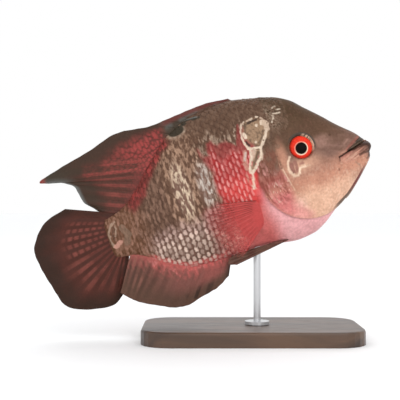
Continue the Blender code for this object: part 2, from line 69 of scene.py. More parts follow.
# Body profiles as (station, value), the same as those of the solids
BACK = (
    (0.0, 0.012), (0.011, 0.050), (0.074, 0.118), (0.173, 0.222), (0.216, 0.266), (0.266, 0.296),
    (0.354, 0.324), (0.45, 0.343), (0.58, 0.332), (0.694, 0.288), (0.79, 0.215), (0.87, 0.138),
    (0.94, 0.090), (1.0, 0.076),
)
BELLY = (
    (0.0, -0.008), (0.026, -0.050), (0.066, -0.087), (0.122, -0.133), (0.185, -0.168), (0.244, -0.207),
    (0.289, -0.226), (0.351, -0.232), (0.42, -0.222), (0.5, -0.209), (0.6, -0.207), (0.7325, -0.203),
    (0.834, -0.160), (0.895, -0.118), (0.945, -0.090), (1.0, -0.078),
)
HALF_WIDTH = (
    (0.0, 0.0), (0.010, 0.030), (0.030, 0.050), (0.074, 0.066), (0.13, 0.080), (0.2, 0.093),
    (0.3, 0.107), (0.4, 0.113), (0.5, 0.109), (0.6, 0.097), (0.7, 0.079), (0.8, 0.057), (0.9, 0.036),
    (1.0, 0.023),
)
WIDEST_LEVEL = (
    (0.0, 0.002), (0.1, -0.005), (0.25, -0.02), (0.4, 0.0), (0.6, 0.02), (0.8, 0.01), (1.0, 0.0))
BACK_ROUNDNESS = ((0.0, 2.0), (0.3, 2.05), (0.5, 1.8), (0.7, 1.6), (0.85, 1.7), (1.0, 2.1))
BELLY_ROUNDNESS = ((0.0, 2.0), (0.2, 2.1), (0.35, 2.0), (0.55, 1.75), (0.75, 1.6), (1.0, 2.1))


class Tone(Enum):
    """Colours of the fish, its eyes and its stand, painted shade and painted highlights among them."""

    CROWN = "#533f2d"
    HEAD_BROWN = "#604635"
    DUSKY_MAUVE = "#7f5f52"
    SNOUT_LIGHT = "#a98274"
    EYE_TAN = "#bb876f"
    CHEEK_LIT = "#cf9f85"
    TAN = "#ab7c68"
    CHEEK = "#c38b73"
    PEACH = "#e6b89c"
    JAW = "#caaa94"
    ROSE_CHEEK = "#e8beae"
    GILL_BROWN = "#7a4e3e"
    GILL_RED = "#7c3d33"
    GILL_ROSE = "#9c594f"
    GILL_PINK = "#cf7975"
    GILL_PALE = "#eca99f"
    LIP_DARK = "#3f3226"
    LIP_TIP = "#40271d"
    LIP_ROSE = "#cf9682"
    LIP_RED = "#9b6054"
    MOUTH = "#2a1c18"
    CHIN_RED = "#742c28"
    CREAM = "#ecdac4"
    SAND = "#c9b09a"
    KEY_CREAM = "#dfcab4"
    LOOP_CREAM = "#ebcdb2"
    TAUPE = "#9c7f65"
    INK = "#3a2a23"
    EYE_SHADE = "#4b443c"
    LOOP_MAUVE = "#8f5f55"
    BACK_BROWN = "#5e4536"
    BACK_FLECK = "#745a49"
    FLANK_UPPER = "#853a36"
    FLANK_RED = "#a63130"
    FLANK_BRIGHT = "#cf4542"
    FLANK_PINK = "#e6a29c"
    FLANK_DUSTY = "#a45c52"
    THROAT = "#eaaeaf"
    BELLY_ROSE = "#ca6a66"
    BAND_BROWN = "#644838"
    BAND_BEIGE = "#b08d75"
    CREAM_PATCH = "#dfc8ad"
    PALE_LILAC = "#d2c6bb"
    PATCH_BROWN = "#7b5d4f"
    PEARL = "#e4c2b6"
    PEARL_EDGE = "#6c4e43"
    LOWER_ROSE = "#8c4843"
    LOWER_PINK = "#d19990"
    STALK_BROWN = "#64432f"
    STALK_ROSE = "#a67c69"
    GREY_BROWN = "#5c4234"
    GREY_FLECK = "#906f5d"
    BASE_RED = "#66302a"
    BASE_SPARK = "#a4433f"
    OLIVE_BLACK = "#3b3327"
    SLATE = "#6c6e6b"
    FIN_MAROON = "#4d241a"
    FIN_BROWN = "#3c2e22"
    FIN_RED = "#853a33"
    FIN_ROSE = "#8c4a40"
    FIN_EDGE = "#301d12"
    OCELLUS = "#83705f"
    OCELLUS_ROSE = "#c08d7c"
    ANAL_ROSE = "#cc6560"
    ANAL_MAUVE = "#7d4c43"
    ANAL_OLIVE = "#553d2e"
    ANAL_STROKE = "#87584b"
    PECTORAL_RED = "#cd504d"
    PECTORAL_DARK = "#70302b"
    PELVIC_BROWN = "#6a4b3f"
    IRIS = "#ee3d28"
    IRIS_DEEP = "#c22b22"
    IRIS_CREAM = "#f6dcc0"
    PUPIL = "#120a05"

    @property
    def linear(self) -> Array:
        """The colour as linear red, green and blue."""
        srgb = np.array([int(self.value[i:i + 2], 16) for i in (1, 3, 5)]) / 255
        return np.where(srgb <= 0.04045, srgb / 12.92, ((srgb + 0.055) / 1.055) ** 2.4)


class Flank(Enum):
    """The two sides of the fish."""

    RIGHT = -1
    LEFT = 1

    @property
    def word(self) -> str:
        """The side's name as the nodes spell it."""
        return self.name.lower()


# Brush strokes: the path and half width in body millimetres, the colour and the strength
MOUTH_STROKES: tuple[Stroke, ...] = (
    (((5.2, 10.6), (10.3, 8.6), (14.2, 6.5), (16.7, 4.9)), 0.9, Tone.LIP_RED, 0.7),
    # The dark olive wedge: painted shade of the upper lip
    (((2.6, 9.8), (4.2, 8.6), (7.2, 7.3)), 1.7, Tone.LIP_DARK, 0.95),
    (((5.8, 7.4), (11.5, 5.6), (15.4, 4.3)), 1.2, Tone.LIP_DARK, 0.9),
    (((2.2, 4.8), (7.3, 4.6), (12.9, 3.9)), 1.0, Tone.LIP_TIP, 0.9),
    (((0.6, 4.6), (-1.0, 1.9), (-0.4, -1.1), (1.1, -3.5)), 1.4, Tone.LIP_TIP, 0.9),
    (((1.2, -0.8), (5.4, -0.6), (8.7, -1.1)), 0.8, Tone.LIP_TIP, 0.75),
    (((1.2, -3.8), (4.2, -4.9)), 0.7, Tone.LIP_TIP, 0.6),
    # A painted highlight along the lower lip's upper edge, then the mouth line under it: painted shade in
    # the mouth's slit
    (((2.4, 7.0), (7.4, 6.4), (13.3, 4.8)), 0.35, Tone.OCELLUS, 0.7),
    (((2.1, 6.4), (6.8, 5.8), (12.8, 4.4)), 0.4, Tone.LIP_DARK, 0.9),
    (((12.8, 4.4), (17.3, 3.3), (23.0, 1.8)), 0.55, Tone.MOUTH, 0.95),
    (((23.0, 1.9), (23.5, -0.8)), 0.4, Tone.LIP_TIP, 0.7),
    (((25.9, -5.5), (26.1, -6.3)), 0.5, Tone.LIP_TIP, 0.7),
    (((19.5, 0.4), (17.4, -2.1), (13.9, -2.9)), 0.4, Tone.LIP_RED, 0.35),
    (((13.1, -4.9), (10.9, -7.8), (11.1, -11.9)), 0.6, Tone.OCELLUS, 0.4),
    (((18.5, -5.3), (22.7, -8.9), (28.0, -13.4)), 0.5, Tone.LIP_RED, 0.2),
    (((19.7, 9.8), (15.8, 12.9)), 0.5, Tone.HEAD_BROWN, 0.4),
    (((16.9, 9.2), (13.2, 11.7)), 0.6, Tone.SNOUT_LIGHT, 0.4),
    (((21.8, 6.2), (18.2, 7.9)), 0.5, Tone.HEAD_BROWN, 0.35),
)
EYE_LOOP: tuple[Stroke, ...] = (
    (((55.9, 7.4), (56.2, 4.6), (55.9, 2.6)), 1.4, Tone.LOOP_MAUVE, 0.85),
    (((53.0, 8.5), (52.9, 4.9), (53.4, 2.4)), 1.0, Tone.LOOP_MAUVE, 0.8),
    (((49.8, 6.4), (48.1, 6.3)), 0.8, Tone.LOOP_MAUVE, 0.75),
    (((56.3, 2.5),), 0.4, Tone.LIP_TIP, 0.8),
    (((55.3, 12.7), (57.3, 10.3), (58.5, 7.2), (58.6, 4.4)), 0.6, Tone.LOOP_CREAM, 0.85),
    (((58.6, 4.4), (57.6, 1.3), (55.8, -0.6), (53.7, -0.5), (52.1, 1.1)), 0.8, Tone.LOOP_CREAM, 0.9),
    (((52.1, 1.1), (51.1, 3.2), (49.5, 3.8)), 0.8, Tone.LOOP_CREAM, 0.95),
    (((51.1, 3.4), (49.0, 3.7), (47.4, 3.7)), 0.8, Tone.LOOP_CREAM, 0.9),
    (((48.2, 3.9), (43.9, 3.7)), 0.4, Tone.LOOP_CREAM, 0.7),
)
PREOPERCLE_ECHO: Path = ((63.5, 11.9), (63.2, 7.1), (62.4, 2.1))
NAPE_FLECKS: tuple[Stroke, ...] = (
    (((55.1, 48.3), (52.7, 48.9)), 0.35, Tone.CREAM, 0.8),
    (((52.5, 46.4), (49.9, 45.9)), 0.35, Tone.CREAM, 0.9),
    (((56.1, 44.4), (53.3, 43.8), (50.7, 43.7)), 0.4, Tone.CREAM, 0.9),
    (((56.4, 43.5), (56.1, 42.4), (57.4, 40.7)), 0.4, Tone.CREAM, 0.9),
    (((58.1, 39.6), (58.5, 39.0)), 0.4, Tone.CREAM, 0.8),
    (((60.1, 46.1), (59.9, 45.7)), 0.5, Tone.SAND, 0.8),
    (((64.9, 49.5), (63.6, 49.4)), 0.35, Tone.SAND, 0.8),
    (((62.0, 49.5), (60.7, 49.2)), 0.3, Tone.SAND, 0.7),
)
KEYHOLE: tuple[Stroke, ...] = (
    (((81.2, 44.3), (82.6, 39.5)), 0.9, Tone.FLANK_UPPER, 0.8),
    (((74.1, 43.8), (68.0, 44.1)), 0.9, Tone.INK, 0.9),
    (((77.5, 41.5), (76.1, 43.3)), 1.0, Tone.INK, 0.6),
    (((77.5, 40.1), (78.1, 37.2)), 0.8, Tone.INK, 0.45),
    (((79.5, 31.9), (78.3, 28.7)), 0.7, Tone.INK, 0.9),
    (((66.3, 35.6), (67.9, 31.9), (71.4, 28.5)), 0.6, Tone.INK, 0.55),
    (((76.2, 45.5), (79.0, 43.5), (80.7, 39.9), (81.3, 35.5)), 0.45, Tone.KEY_CREAM, 0.9),
    (((81.3, 35.5), (80.9, 30.8), (79.6, 27.0)), 0.65, Tone.KEY_CREAM, 0.95),
    (((79.2, 37.4), (78.8, 34.6)), 1.15, Tone.KEY_CREAM, 1.0),
    (((79.8, 26.7), (75.0, 25.9), (71.3, 25.6)), 0.8, Tone.KEY_CREAM, 1.0),
    (((71.3, 25.4), (68.7, 28.3), (65.9, 31.7), (63.8, 35.5)), 0.95, Tone.KEY_CREAM, 0.95),
    (((64.5, 41.4), (62.6, 39.0), (62.9, 36.2)), 1.8, Tone.SAND, 0.95),
    (((64.9, 42.6), (66.1, 40.2)), 0.45, Tone.KEY_CREAM, 0.9),
    (((61.8, 41.2), (61.0, 38.6)), 0.4, Tone.SAND, 0.8),
    (((73.5, 29.7),), 0.95, Tone.KEY_CREAM, 1.0),
    (((69.0, 40.9), (69.2, 39.8)), 0.65, Tone.KEY_CREAM, 0.9),
    (((74.6, 45.2), (73.1, 45.5)), 0.55, Tone.SAND, 0.9),
    (((71.7, 45.5), (70.4, 45.7)), 0.6, Tone.KEY_CREAM, 0.8),
    (((67.5, 46.0), (66.4, 45.7)), 0.55, Tone.KEY_CREAM, 0.9),
    (((64.8, 44.4), (63.7, 43.0)), 0.55, Tone.SAND, 0.9),
    (((78.4, 44.7), (77.4, 44.0)), 0.6, Tone.SAND, 0.8),
    (((82.5, 25.6), (85.0, 19.4), (85.0, 14.5)), 1.4, Tone.OCELLUS_ROSE, 0.8),
    (((82.3, 25.0), (84.4, 20.4)), 0.5, Tone.PALE_LILAC, 0.7),
    (((76.2, 24.6), (79.4, 19.6)), 1.6, Tone.SAND, 0.9),
    (((74.0, 23.6), (76.8, 19.5), (80.0, 15.6), (81.7, 13.2)), 1.1, Tone.TAUPE, 0.95),
    (((74.2, 23.0), (76.8, 19.2), (80.0, 15.2)), 0.7, Tone.INK, 0.55),
    (((78.6, 27.0), (79.8, 21.2), (82.4, 15.8), (83.4, 11.6)), 0.85, Tone.KEY_CREAM, 1.0),
    (((71.4, 25.4), (73.2, 19.6), (76.4, 16.5), (79.2, 13.2), (82.3, 10.8)), 0.85, Tone.KEY_CREAM, 1.0),
    (((71.6, 21.0), (73.4, 17.4)), 0.5, Tone.SAND, 0.8),
    (((82.3, 10.8), (83.4, 5.6), (84.6, 0.5)), 0.85, Tone.KEY_CREAM, 0.95),
    (((86.0, 10.4), (87.2, 5.4)), 0.5, Tone.OCELLUS_ROSE, 0.8),
)
TAIL_OCELLUS: tuple[Stroke, ...] = (
    (((178.5, 4.6), (175.4, -1.0), (178.1, -6.1)), 2.2, Tone.OCELLUS, 0.5),
    (((182.3, 7.0), (181.6, 3.0), (182.4, -2.0)), 1.8, Tone.STALK_BROWN, 0.7),
    (((183.7, 6.4), (185.4, 2.8), (185.8, -1.2)), 0.9, Tone.FIN_EDGE, 0.55),
    (((182.0, 9.9), (185.7, 8.1), (188.3, 3.7), (188.5, -1.8), (187.4, -5.9)), 0.8, Tone.SAND, 0.45),
    (((182.3, 8.2), (182.6, 4.6), (184.6, 0.7)), 0.5, Tone.SAND, 0.5),
    (((186.2, -6.4), (182.2, -4.6)), 1.5, Tone.OCELLUS_ROSE, 0.9),
)


def smooth_curve(knots: Knots, x: Array, rooted: bool = False) -> Array:
    """Reads a smooth curve that never swings past its knots.

    Args:
        knots: The (x, value) points that the curve passes through.
        x: Where to read it.
        rooted: True where the curve is smooth in the square root of x, as at a blunt snout.

    Returns:
        The curve's values at x.
    """
    xs, values = np.array(knots, dtype=float).T
    x = np.asarray(x, dtype=float)
    if rooted:
        xs, x = np.sqrt(xs), np.sqrt(np.maximum(x, 0.0))
    slope = np.diff(values) / np.diff(xs)
    both = slope[:-1] * slope[1:]
    total = slope[:-1] + slope[1:]
    inner = np.where(both > 0, 2 * both / np.where(both > 0, total, 1.0), 0.0)
    tangent = np.concatenate([slope[:1], inner, slope[-1:]])
    x = np.clip(x, xs[0], xs[-1])
    i = np.clip(np.searchsorted(xs, x, side="right") - 1, 0, len(xs) - 2)
    width = xs[i + 1] - xs[i]
    s = (x - xs[i]) / width
    return (
        values[i] * (1 + 2 * s) * (1 - s) ** 2
        + tangent[i] * width * s * (1 - s) ** 2
        + values[i + 1] * s * s * (3 - 2 * s)
        + tangent[i + 1] * width * s * s * (s - 1)
    )


def ramp(x: Array, start: float, end: float) -> Array:
    """Rises smoothly from 0 at start to 1 at end, which may lie either way round."""
    s = np.clip((x - start) / (end - start), 0.0, 1.0)
    return s * s * (3 - 2 * s)


def window(x: Array, low: float, high: float, soft: float) -> Array:
    """Is 1 between low and high and fades to 0 over soft on either side."""
    return ramp(x, low - soft, low + soft) * ramp(x, high + soft, high - soft)


def noise(x: Array, y: Array, seed: int) -> Array:
    """Reads a smooth random field with features one unit across.

    Args:
        x: First coordinate.
        y: Second coordinate.
        seed: Which field.

    Returns:
        Values from 0 to 1.
    """
    left, low = np.floor(x).astype(np.int64), np.floor(y).astype(np.int64)
    s, t = x - left, y - low
    s, t = s * s * (3 - 2 * s), t * t * (3 - 2 * t)

    def corner(i: int, j: int) -> Array:
        """The field's value at a lattice corner."""
        mixed = ((left + i) * 374761393 + (low + j) * 668265263 + seed * 974634777) & 0x7FFFFFFF
        mixed = ((mixed ^ (mixed >> 13)) * 1274126177) & 0x7FFFFFFF
        return ((mixed ^ (mixed >> 16)) & 0xFFFF) / 65535

    lower = corner(0, 0) * (1 - s) + corner(1, 0) * s
    upper = corner(0, 1) * (1 - s) + corner(1, 1) * s
    return lower * (1 - t) + upper * t


def cobbles(x: Array, y: Array, seed: int) -> Array:
    """Rounded patches about one unit across with gaps between them.

    Args:
        x: First coordinate.
        y: Second coordinate.
        seed: Which arrangement.

    Returns:
        1 inside a patch and 0 in a gap.
    """
    left, low = np.floor(x), np.floor(y)
    first, second = np.full(np.shape(x), 9.0), np.full(np.shape(x), 9.0)
    for i, j in ((i, j) for i in (-1, 0, 1) for j in (-1, 0, 1)):
        across, up = left + i, low + j
        away = np.hypot(across + noise(across, up, seed) - x, up + noise(across, up, seed + 1) - y)
        second = np.minimum(second, np.maximum(first, away))
        first = np.minimum(first, away)
    return ramp(second - first, 0.08, 0.34)


def distance_to_path(x: Array, y: Array, path: Path) -> Array:
    """The shortest distance from each point to a polyline.

    Args:
        x: First coordinate of the points.
        y: Second coordinate of the points.
        path: The polyline's corners, or one point.

    Returns:
        One distance for each point.
    """
    nearest = np.full(np.shape(x), np.inf)
    for (x0, y0), (x1, y1) in zip(path, path[1:] or path):
        along = np.array((x1 - x0, y1 - y0))
        length = max(float(along @ along), 1e-12)
        share = np.clip(((x - x0) * along[0] + (y - y0) * along[1]) / length, 0.0, 1.0)
        nearest = np.minimum(nearest, np.hypot(x - x0 - share * along[0], y - y0 - share * along[1]))
    return nearest


def grid_quads(rows: int, columns: int, closed: bool = False) -> Array:
    """Corner numbers of the quads between neighbouring rows of a point grid.

    Args:
        rows: Rows of points.
        columns: Points in a row.
        closed: True where each row closes on itself.

    Returns:
        An array of four corners a quad.
    """
    across = columns if closed else columns - 1
    i, j = np.meshgrid(np.arange(rows - 1), np.arange(across), indexing="ij")
    after = (j + 1) % columns
    corners = (i * columns + j, i * columns + after, (i + 1) * columns + after, (i + 1) * columns + j)
    return np.stack(corners, axis=-1).reshape(-1, 4)


def unit(vectors: Array) -> Array:
    """The vectors at a length of 1."""
    return vectors / np.maximum(np.linalg.norm(vectors, axis=-1, keepdims=True), 1e-12)


def grid_normals(points: Array, closed: bool = False) -> Array:
    """Unit normals of a point grid from its neighbours.

    Args:
        points: Positions, in rows and columns.
        closed: True where each row closes on itself.

    Returns:
        A normal for each point, along rows crossed with along columns.
    """
    down = np.gradient(points, axis=0)
    if closed:
        across = np.roll(points, -1, axis=1) - np.roll(points, 1, axis=1)
    else:
        across = np.gradient(points, axis=1)
    return unit(np.cross(down, across))


def capped_grid(rows: int, columns: int) -> list[list[int]]:
    """Faces of a closed grid with a pole at either end, the two points that follow the grid's own.

    Args:
        rows: Rows of points.
        columns: Points in a row.

    Returns:
        The corner numbers of each face.
    """
    faces = grid_quads(rows, columns, closed=True).tolist()
    pole, last = rows * columns, (rows - 1) * columns
    for k in range(columns):
        after = (k + 1) % columns
        faces += [[pole, after, k], [pole + 1, last + k, last + after]]
    return faces


def grid_rim(rows: int, columns: int) -> list[int]:
    """Numbers of the points round the border of a point grid."""
    rim = list(range(columns - 1)) + [i * columns + columns - 1 for i in range(rows - 1)]
    rim += [(rows - 1) * columns + j for j in range(columns - 1, 0, -1)]
    return rim + [i * columns for i in range(rows - 1, 0, -1)]


def add_object(name: str, data: ID) -> Object:
    """Puts a mesh, light or camera in the scene."""
    made = bpy.data.objects.new(name, data)
    bpy.context.scene.collection.objects.link(made)
    return made


def make_piece(name: str, points: Array, polygons: Sequence[Sequence[int]]) -> Object:
    """Makes a smooth-shaded mesh object in the scene.

    Args:
        name: The piece's name.
        points: Positions in metres.
        polygons: Corner numbers of each face.

    Returns:
        The new object.
    """
    mesh = bpy.data.meshes.new(name)
    mesh.from_pydata(np.reshape(points, (-1, 3)).tolist(), [], [list(map(int, p)) for p in polygons])
    mesh.shade_smooth()
    return add_object(name, mesh)


def set_tint(mesh: Mesh, name: str, colour: Array, alpha: Array | float = 1.0) -> None:
    """Stores a linear colour for each point of a mesh.

    Args:
        mesh: The mesh to colour.
        name: The attribute's name.
        colour: Red, green and blue for each point.
        alpha: A fourth value for each point.
    """
    layer = mesh.color_attributes.new(name, "FLOAT_COLOR", "POINT")
    rgba = np.empty((len(mesh.vertices), 4))
    rgba[:, :3] = np.clip(colour, 0.0, 1.0)
    rgba[:, 3] = alpha
    layer.data.foreach_set("color", rgba.ravel())


def set_uv(mesh: Mesh, name: str, uv: Array) -> None:
    """Stores a UV map that is given by point.

    Args:
        mesh: The mesh to map.
        name: The map's name.
        uv: A pair for each point.
    """
    layer = mesh.uv_layers.new(name=name)
    corners = np.empty(len(mesh.loops), dtype=np.int32)
    mesh.loops.foreach_get("vertex_index", corners)
    layer.data.foreach_set("uv", uv[corners].ravel())


def point_positions(mesh: Mesh) -> Array:
    """The positions of a mesh's points."""
    flat = np.empty(len(mesh.vertices) * 3)
    mesh.vertices.foreach_get("co", flat)
    return flat.reshape(-1, 3)


def store(mesh: Mesh, **values: Array) -> None:
    """Stores numbers or vectors on the points of a mesh, by attribute name.

    Args:
        mesh: The mesh.
        values: A number or a vector for each point, by attribute name.
    """
    for name, value in values.items():
        vector = np.ndim(value) == 2
        layer = mesh.attributes.new(name, "FLOAT_VECTOR" if vector else "FLOAT", "POINT")
        layer.data.foreach_set("vector" if vector else "value", np.ravel(value))


def fetch(mesh: Mesh, name: str) -> Array:
    """Reads numbers or vectors back from the points of a mesh.

    Args:
        mesh: The mesh.
        name: The attribute's name.

    Returns:
        A number or a vector for each point.
    """
    layer = mesh.attributes[name]
    vector = layer.data_type == "FLOAT_VECTOR"
    flat = np.empty(len(mesh.vertices) * (3 if vector else 1))
    layer.data.foreach_get("vector" if vector else "value", flat)
    return flat.reshape(-1, 3) if vector else flat


def grow_mesh(host: Object, tree: NodeTree, values: dict[str, object]) -> Mesh:
    """Runs Geometry Nodes on an object, which is then removed.

    Args:
        host: The object that they start from.
        tree: The nodes.
        values: Their inputs, by name.

    Returns:
        The mesh that comes out.
    """
    live = host.modifiers.new(tree.name, "NODES")
    live.node_group = tree
    for item in tree.interface.items_tree:
        if item.name in values:
            live[item.identifier] = values[item.name]
    bpy.context.view_layer.update()
    mesh = bpy.data.meshes.new_from_object(host.evaluated_get(bpy.context.evaluated_depsgraph_get()))
    host.modifiers.remove(live)
    bpy.data.objects.remove(host)
    return mesh


def finish_piece(piece: Object, nodes: Sequence[str] = ()) -> None:
    """Tells the frame what a finished piece rides on and stands for.

    Args:
        piece: The finished piece.
        nodes: The nodes that it stands for.
    """
    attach(piece, "root")
    if nodes:
        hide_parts(*nodes)
    log.info("%s: %d faces", piece.name, len(piece.data.polygons))


@dataclass(frozen=True)
class BodyForm:
    """The fish's body without fins, a smooth form along its pitched axis."""

    length: float = BODY_MM * MM
    pitch: float = math.radians(19)
    tail_x: float = -0.0617
    tail_z: float = 0.0697

    def back(self, station: Array) -> Array:
        """Height of the back."""
        return smooth_curve(BACK, station, rooted=True)

    def belly(self, station: Array) -> Array:
        """Height of the belly, a minus number."""
        return smooth_curve(BELLY, station, rooted=True)

    def level(self, station: Array) -> Array:
        """Height at which the body is widest."""
        return smooth_curve(WIDEST_LEVEL, station)

    def shape(self, station: Array, over: Array) -> tuple[Array, Array, Array]:
        """The body's size and roundness over or under its widest level.

        Args:
            station: Shares behind the snout.
            over: True above the widest level.

        Returns:
            The half width, the reach and the roundness.
        """
        level = self.level(station)
        reach = np.where(over, self.back(station) - level, level - self.belly(station))
        upper, lower = smooth_curve(BACK_ROUNDNESS, station), smooth_curve(BELLY_ROUNDNESS, station)
        return smooth_curve(HALF_WIDTH, station, rooted=True), reach, np.where(over, upper, lower)

    def side(self, station: Array, height: Array) -> Array:
        """How far the surface stands from the middle plane.

        Args:
            station: Shares behind the snout.
            height: Shares above the axis.

        Returns:
            The half width there, in shares.
        """
        level = self.level(station)
        width, reach, roundness = self.shape(station, height >= level)
        share = np.minimum(np.abs(height - level) / np.maximum(reach, 1e-6), 1.0)
        return width * (1 - share ** roundness) ** (1 / roundness)

    def section(self, station: Array, turn: Array) -> tuple[Array, Array]:
        """A point on the body's cross-section.

        Args:
            station: Shares behind the snout.
            turn: Angle round the section, 0 at the fish's left and a quarter turn at the back.

        Returns:
            The point's height and side, in shares.
        """
        across, upward = np.cos(turn), np.sin(turn)
        width, reach, roundness = self.shape(station, upward >= 0)
        height = self.level(station) + reach * np.sign(upward) * np.abs(upward) ** (2 / roundness)
        return height, width * np.sign(across) * np.abs(across) ** (2 / roundness)

    def place(self, station: Array, height: Array, side: Array) -> Array:
        """World positions of places on the fish.

        Args:
            station: Shares behind the snout.
            height: Shares above the axis.
            side: Shares to the fish's left.

        Returns:
            Positions in metres.
        """
        ahead = (1 - np.asarray(station)) * self.length
        up = np.asarray(height) * self.length
        x = self.tail_x + ahead * math.cos(self.pitch) - up * math.sin(self.pitch)
        z = self.tail_z + ahead * math.sin(self.pitch) + up * math.cos(self.pitch)
        return np.stack(np.broadcast_arrays(x, np.asarray(side) * self.length, z), axis=-1)

    def millimetres(self, points: Array) -> tuple[Array, Array]:
        """Body millimetres of world positions.

        Args:
            points: Positions in metres.

        Returns:
            How far each lies along, behind the snout, and above the axis.
        """
        x, z = points[..., 0] - self.tail_x, points[..., 2] - self.tail_z
        ahead = x * math.cos(self.pitch) + z * math.sin(self.pitch)
        up = z * math.cos(self.pitch) - x * math.sin(self.pitch)
        return (self.length - ahead) / MM, up / MM

    def over_belly(self, along: Array, above: Array) -> Array:
        """Millimetres from the belly's edge up to places in body millimetres."""
        return above - self.belly(np.clip(along, 0, BODY_MM) / BODY_MM) * BODY_MM

    def surface(self, station: Array, turn: Array) -> tuple[Array, Array]:
        """World positions on the body's surface.

        Args:
            station: Shares behind the snout.
            turn: Angle round the section.

        Returns:
            Positions in metres and outward normals.
        """
        step = SLOPE_STEP

        def at(s: Array, t: Array) -> Array:
            """The surface itself."""
            return self.place(s, *self.section(s, t))

        tailward = at(station + step, turn) - at(station - step, turn)
        around = at(station, turn + step) - at(station, turn - step)
        return at(station, turn), unit(np.cross(tailward, around))


@dataclass(frozen=True)
class HeadPlan:
    """Where the head's features lie, in body millimetres."""

    cheek: tuple[float, float] = (46.0, 2.1)
    cheek_radius: float = 34.2
    eye: tuple[float, float] = (45.3, 16.8)
    eye_radius: float = 8.0
    gill_front: float = 59.5
    nape: float = 60.8
    mouth_front: tuple[float, float] = (1.5, 7.0)
    mouth_corner: tuple[float, float] = (23.0, 1.9)
    nostril: tuple[float, float] = (23.9, 18.3)
    preopercle: Path = (
        (63.0, 18.8), (63.0, 13.3), (62.4, 7.2), (61.6, 2.6), (60.8, -2.0), (59.7, -6.7), (58.0, -13.6),
        (55.2, -20.8), (50.0, -27.0))

    def round_cheek(self, along: Array, above: Array) -> tuple[Array, Array]:
        """Millimetres from the cheek's centre, and the turn from straight back, plus upwards."""
        back, up = along - self.cheek[0], above - self.cheek[1]
        return np.hypot(back, up), np.arctan2(up, back)

    def from_eye(self, along: Array, above: Array) -> Array:
        """Distance from the eye's centre in millimetres."""
        return np.hypot(along - self.eye[0], above - self.eye[1])

    def behind_gill(self, along: Array, above: Array) -> Array:
        """Is 1 on the trunk and 0 on the head, the gill cover with it.

        Args:
            along: Millimetres behind the snout.
            above: Millimetres over the body axis.

        Returns:
            The mask.
        """
        radius, turn = self.round_cheek(along, above)
        outside = ramp(radius, self.cheek_radius - 0.3, self.cheek_radius + 0.5)
        nape = ramp(along, self.nape - 0.3, self.nape + 0.5)
        high = turn > math.radians(55)
        front = turn < math.radians(-125)
        return np.where(high, nape, np.where(front, 0.0, outside))


class Canvas:
    """Colours being laid over places that are given in body millimetres."""

    def __init__(self, along: Array, above: Array, base: Tone) -> None:
        """Starts from one colour everywhere.

        Args:
            along: Millimetres behind the snout.
            above: Millimetres over the body axis.
            base: The first colour.
        """
        self.along = along
        self.above = above
        self.colour = np.tile(base.linear, (len(along), 1))

    def lay(self, mask: Array, tone: Tone, strength: float = 1.0) -> None:
        """Lays a colour where mask is 1."""
        share = np.clip(mask * strength, 0.0, 1.0)[:, None]
        self.colour += share * (tone.linear - self.colour)

    def grain(self, x: float, y: float, seed: int) -> Array:
        """A random field with features x by y millimetres in size."""
        return noise(self.along / x, self.above / y, seed)

    def patch(self, centre: tuple[float, float], radii: tuple[float, float], soft: float = 0.35,
              lean: float = 0.0) -> Array:
        """A soft-edged ellipse.

        Args:
            centre: Its centre.
            radii: Its half sizes along and above.
            soft: The share of the radius over which it fades.
            lean: Degrees that it is turned by.

        Returns:
            A mask, 1 inside.
        """
        x, y = self.along - centre[0], self.above - centre[1]
        cosine, sine = math.cos(math.radians(lean)), math.sin(math.radians(lean))
        reach = np.hypot((x * cosine + y * sine) / radii[0], (y * cosine - x * sine) / radii[1])
        return ramp(reach, 1 + soft, 1 - soft)

    def trail(self, path: Path, width: float, soft: float = 0.4, wander: Array | float = 0.0) -> Array:
        """A soft-edged line of a half width in millimetres, whose edges may wander."""
        away = distance_to_path(self.along, self.above, path) + wander
        return ramp(away, width + soft, max(width - soft, 0.0))

    def draw(self, strokes: Sequence[Stroke], fray: float = 0.0, soft: float = 0.3) -> Array:
        """Lays brush strokes.

        Args:
            strokes: The strokes, the first one lowest.
            fray: Millimetres by which their edges wander.
            soft: Millimetres over which their edges fade.

        Returns:
            How much of each place they cover.
        """
        wander = fray * (self.grain(1.3, 1.3, 21) - 0.5)
        covered = np.zeros(len(self.along))
        for path, width, tone, strength in strokes:
            mask = strength * self.trail(path, width, soft, wander)
            self.lay(mask, tone)
            covered = np.maximum(covered, mask)
        return covered


@dataclass
class ScalePaint:
    """Colours of the scales at some places: an edge colour, and a fleck on each scale."""

    ground: Array
    fleck: Array
    strength: Array
    breadth: Array
    streak: Array


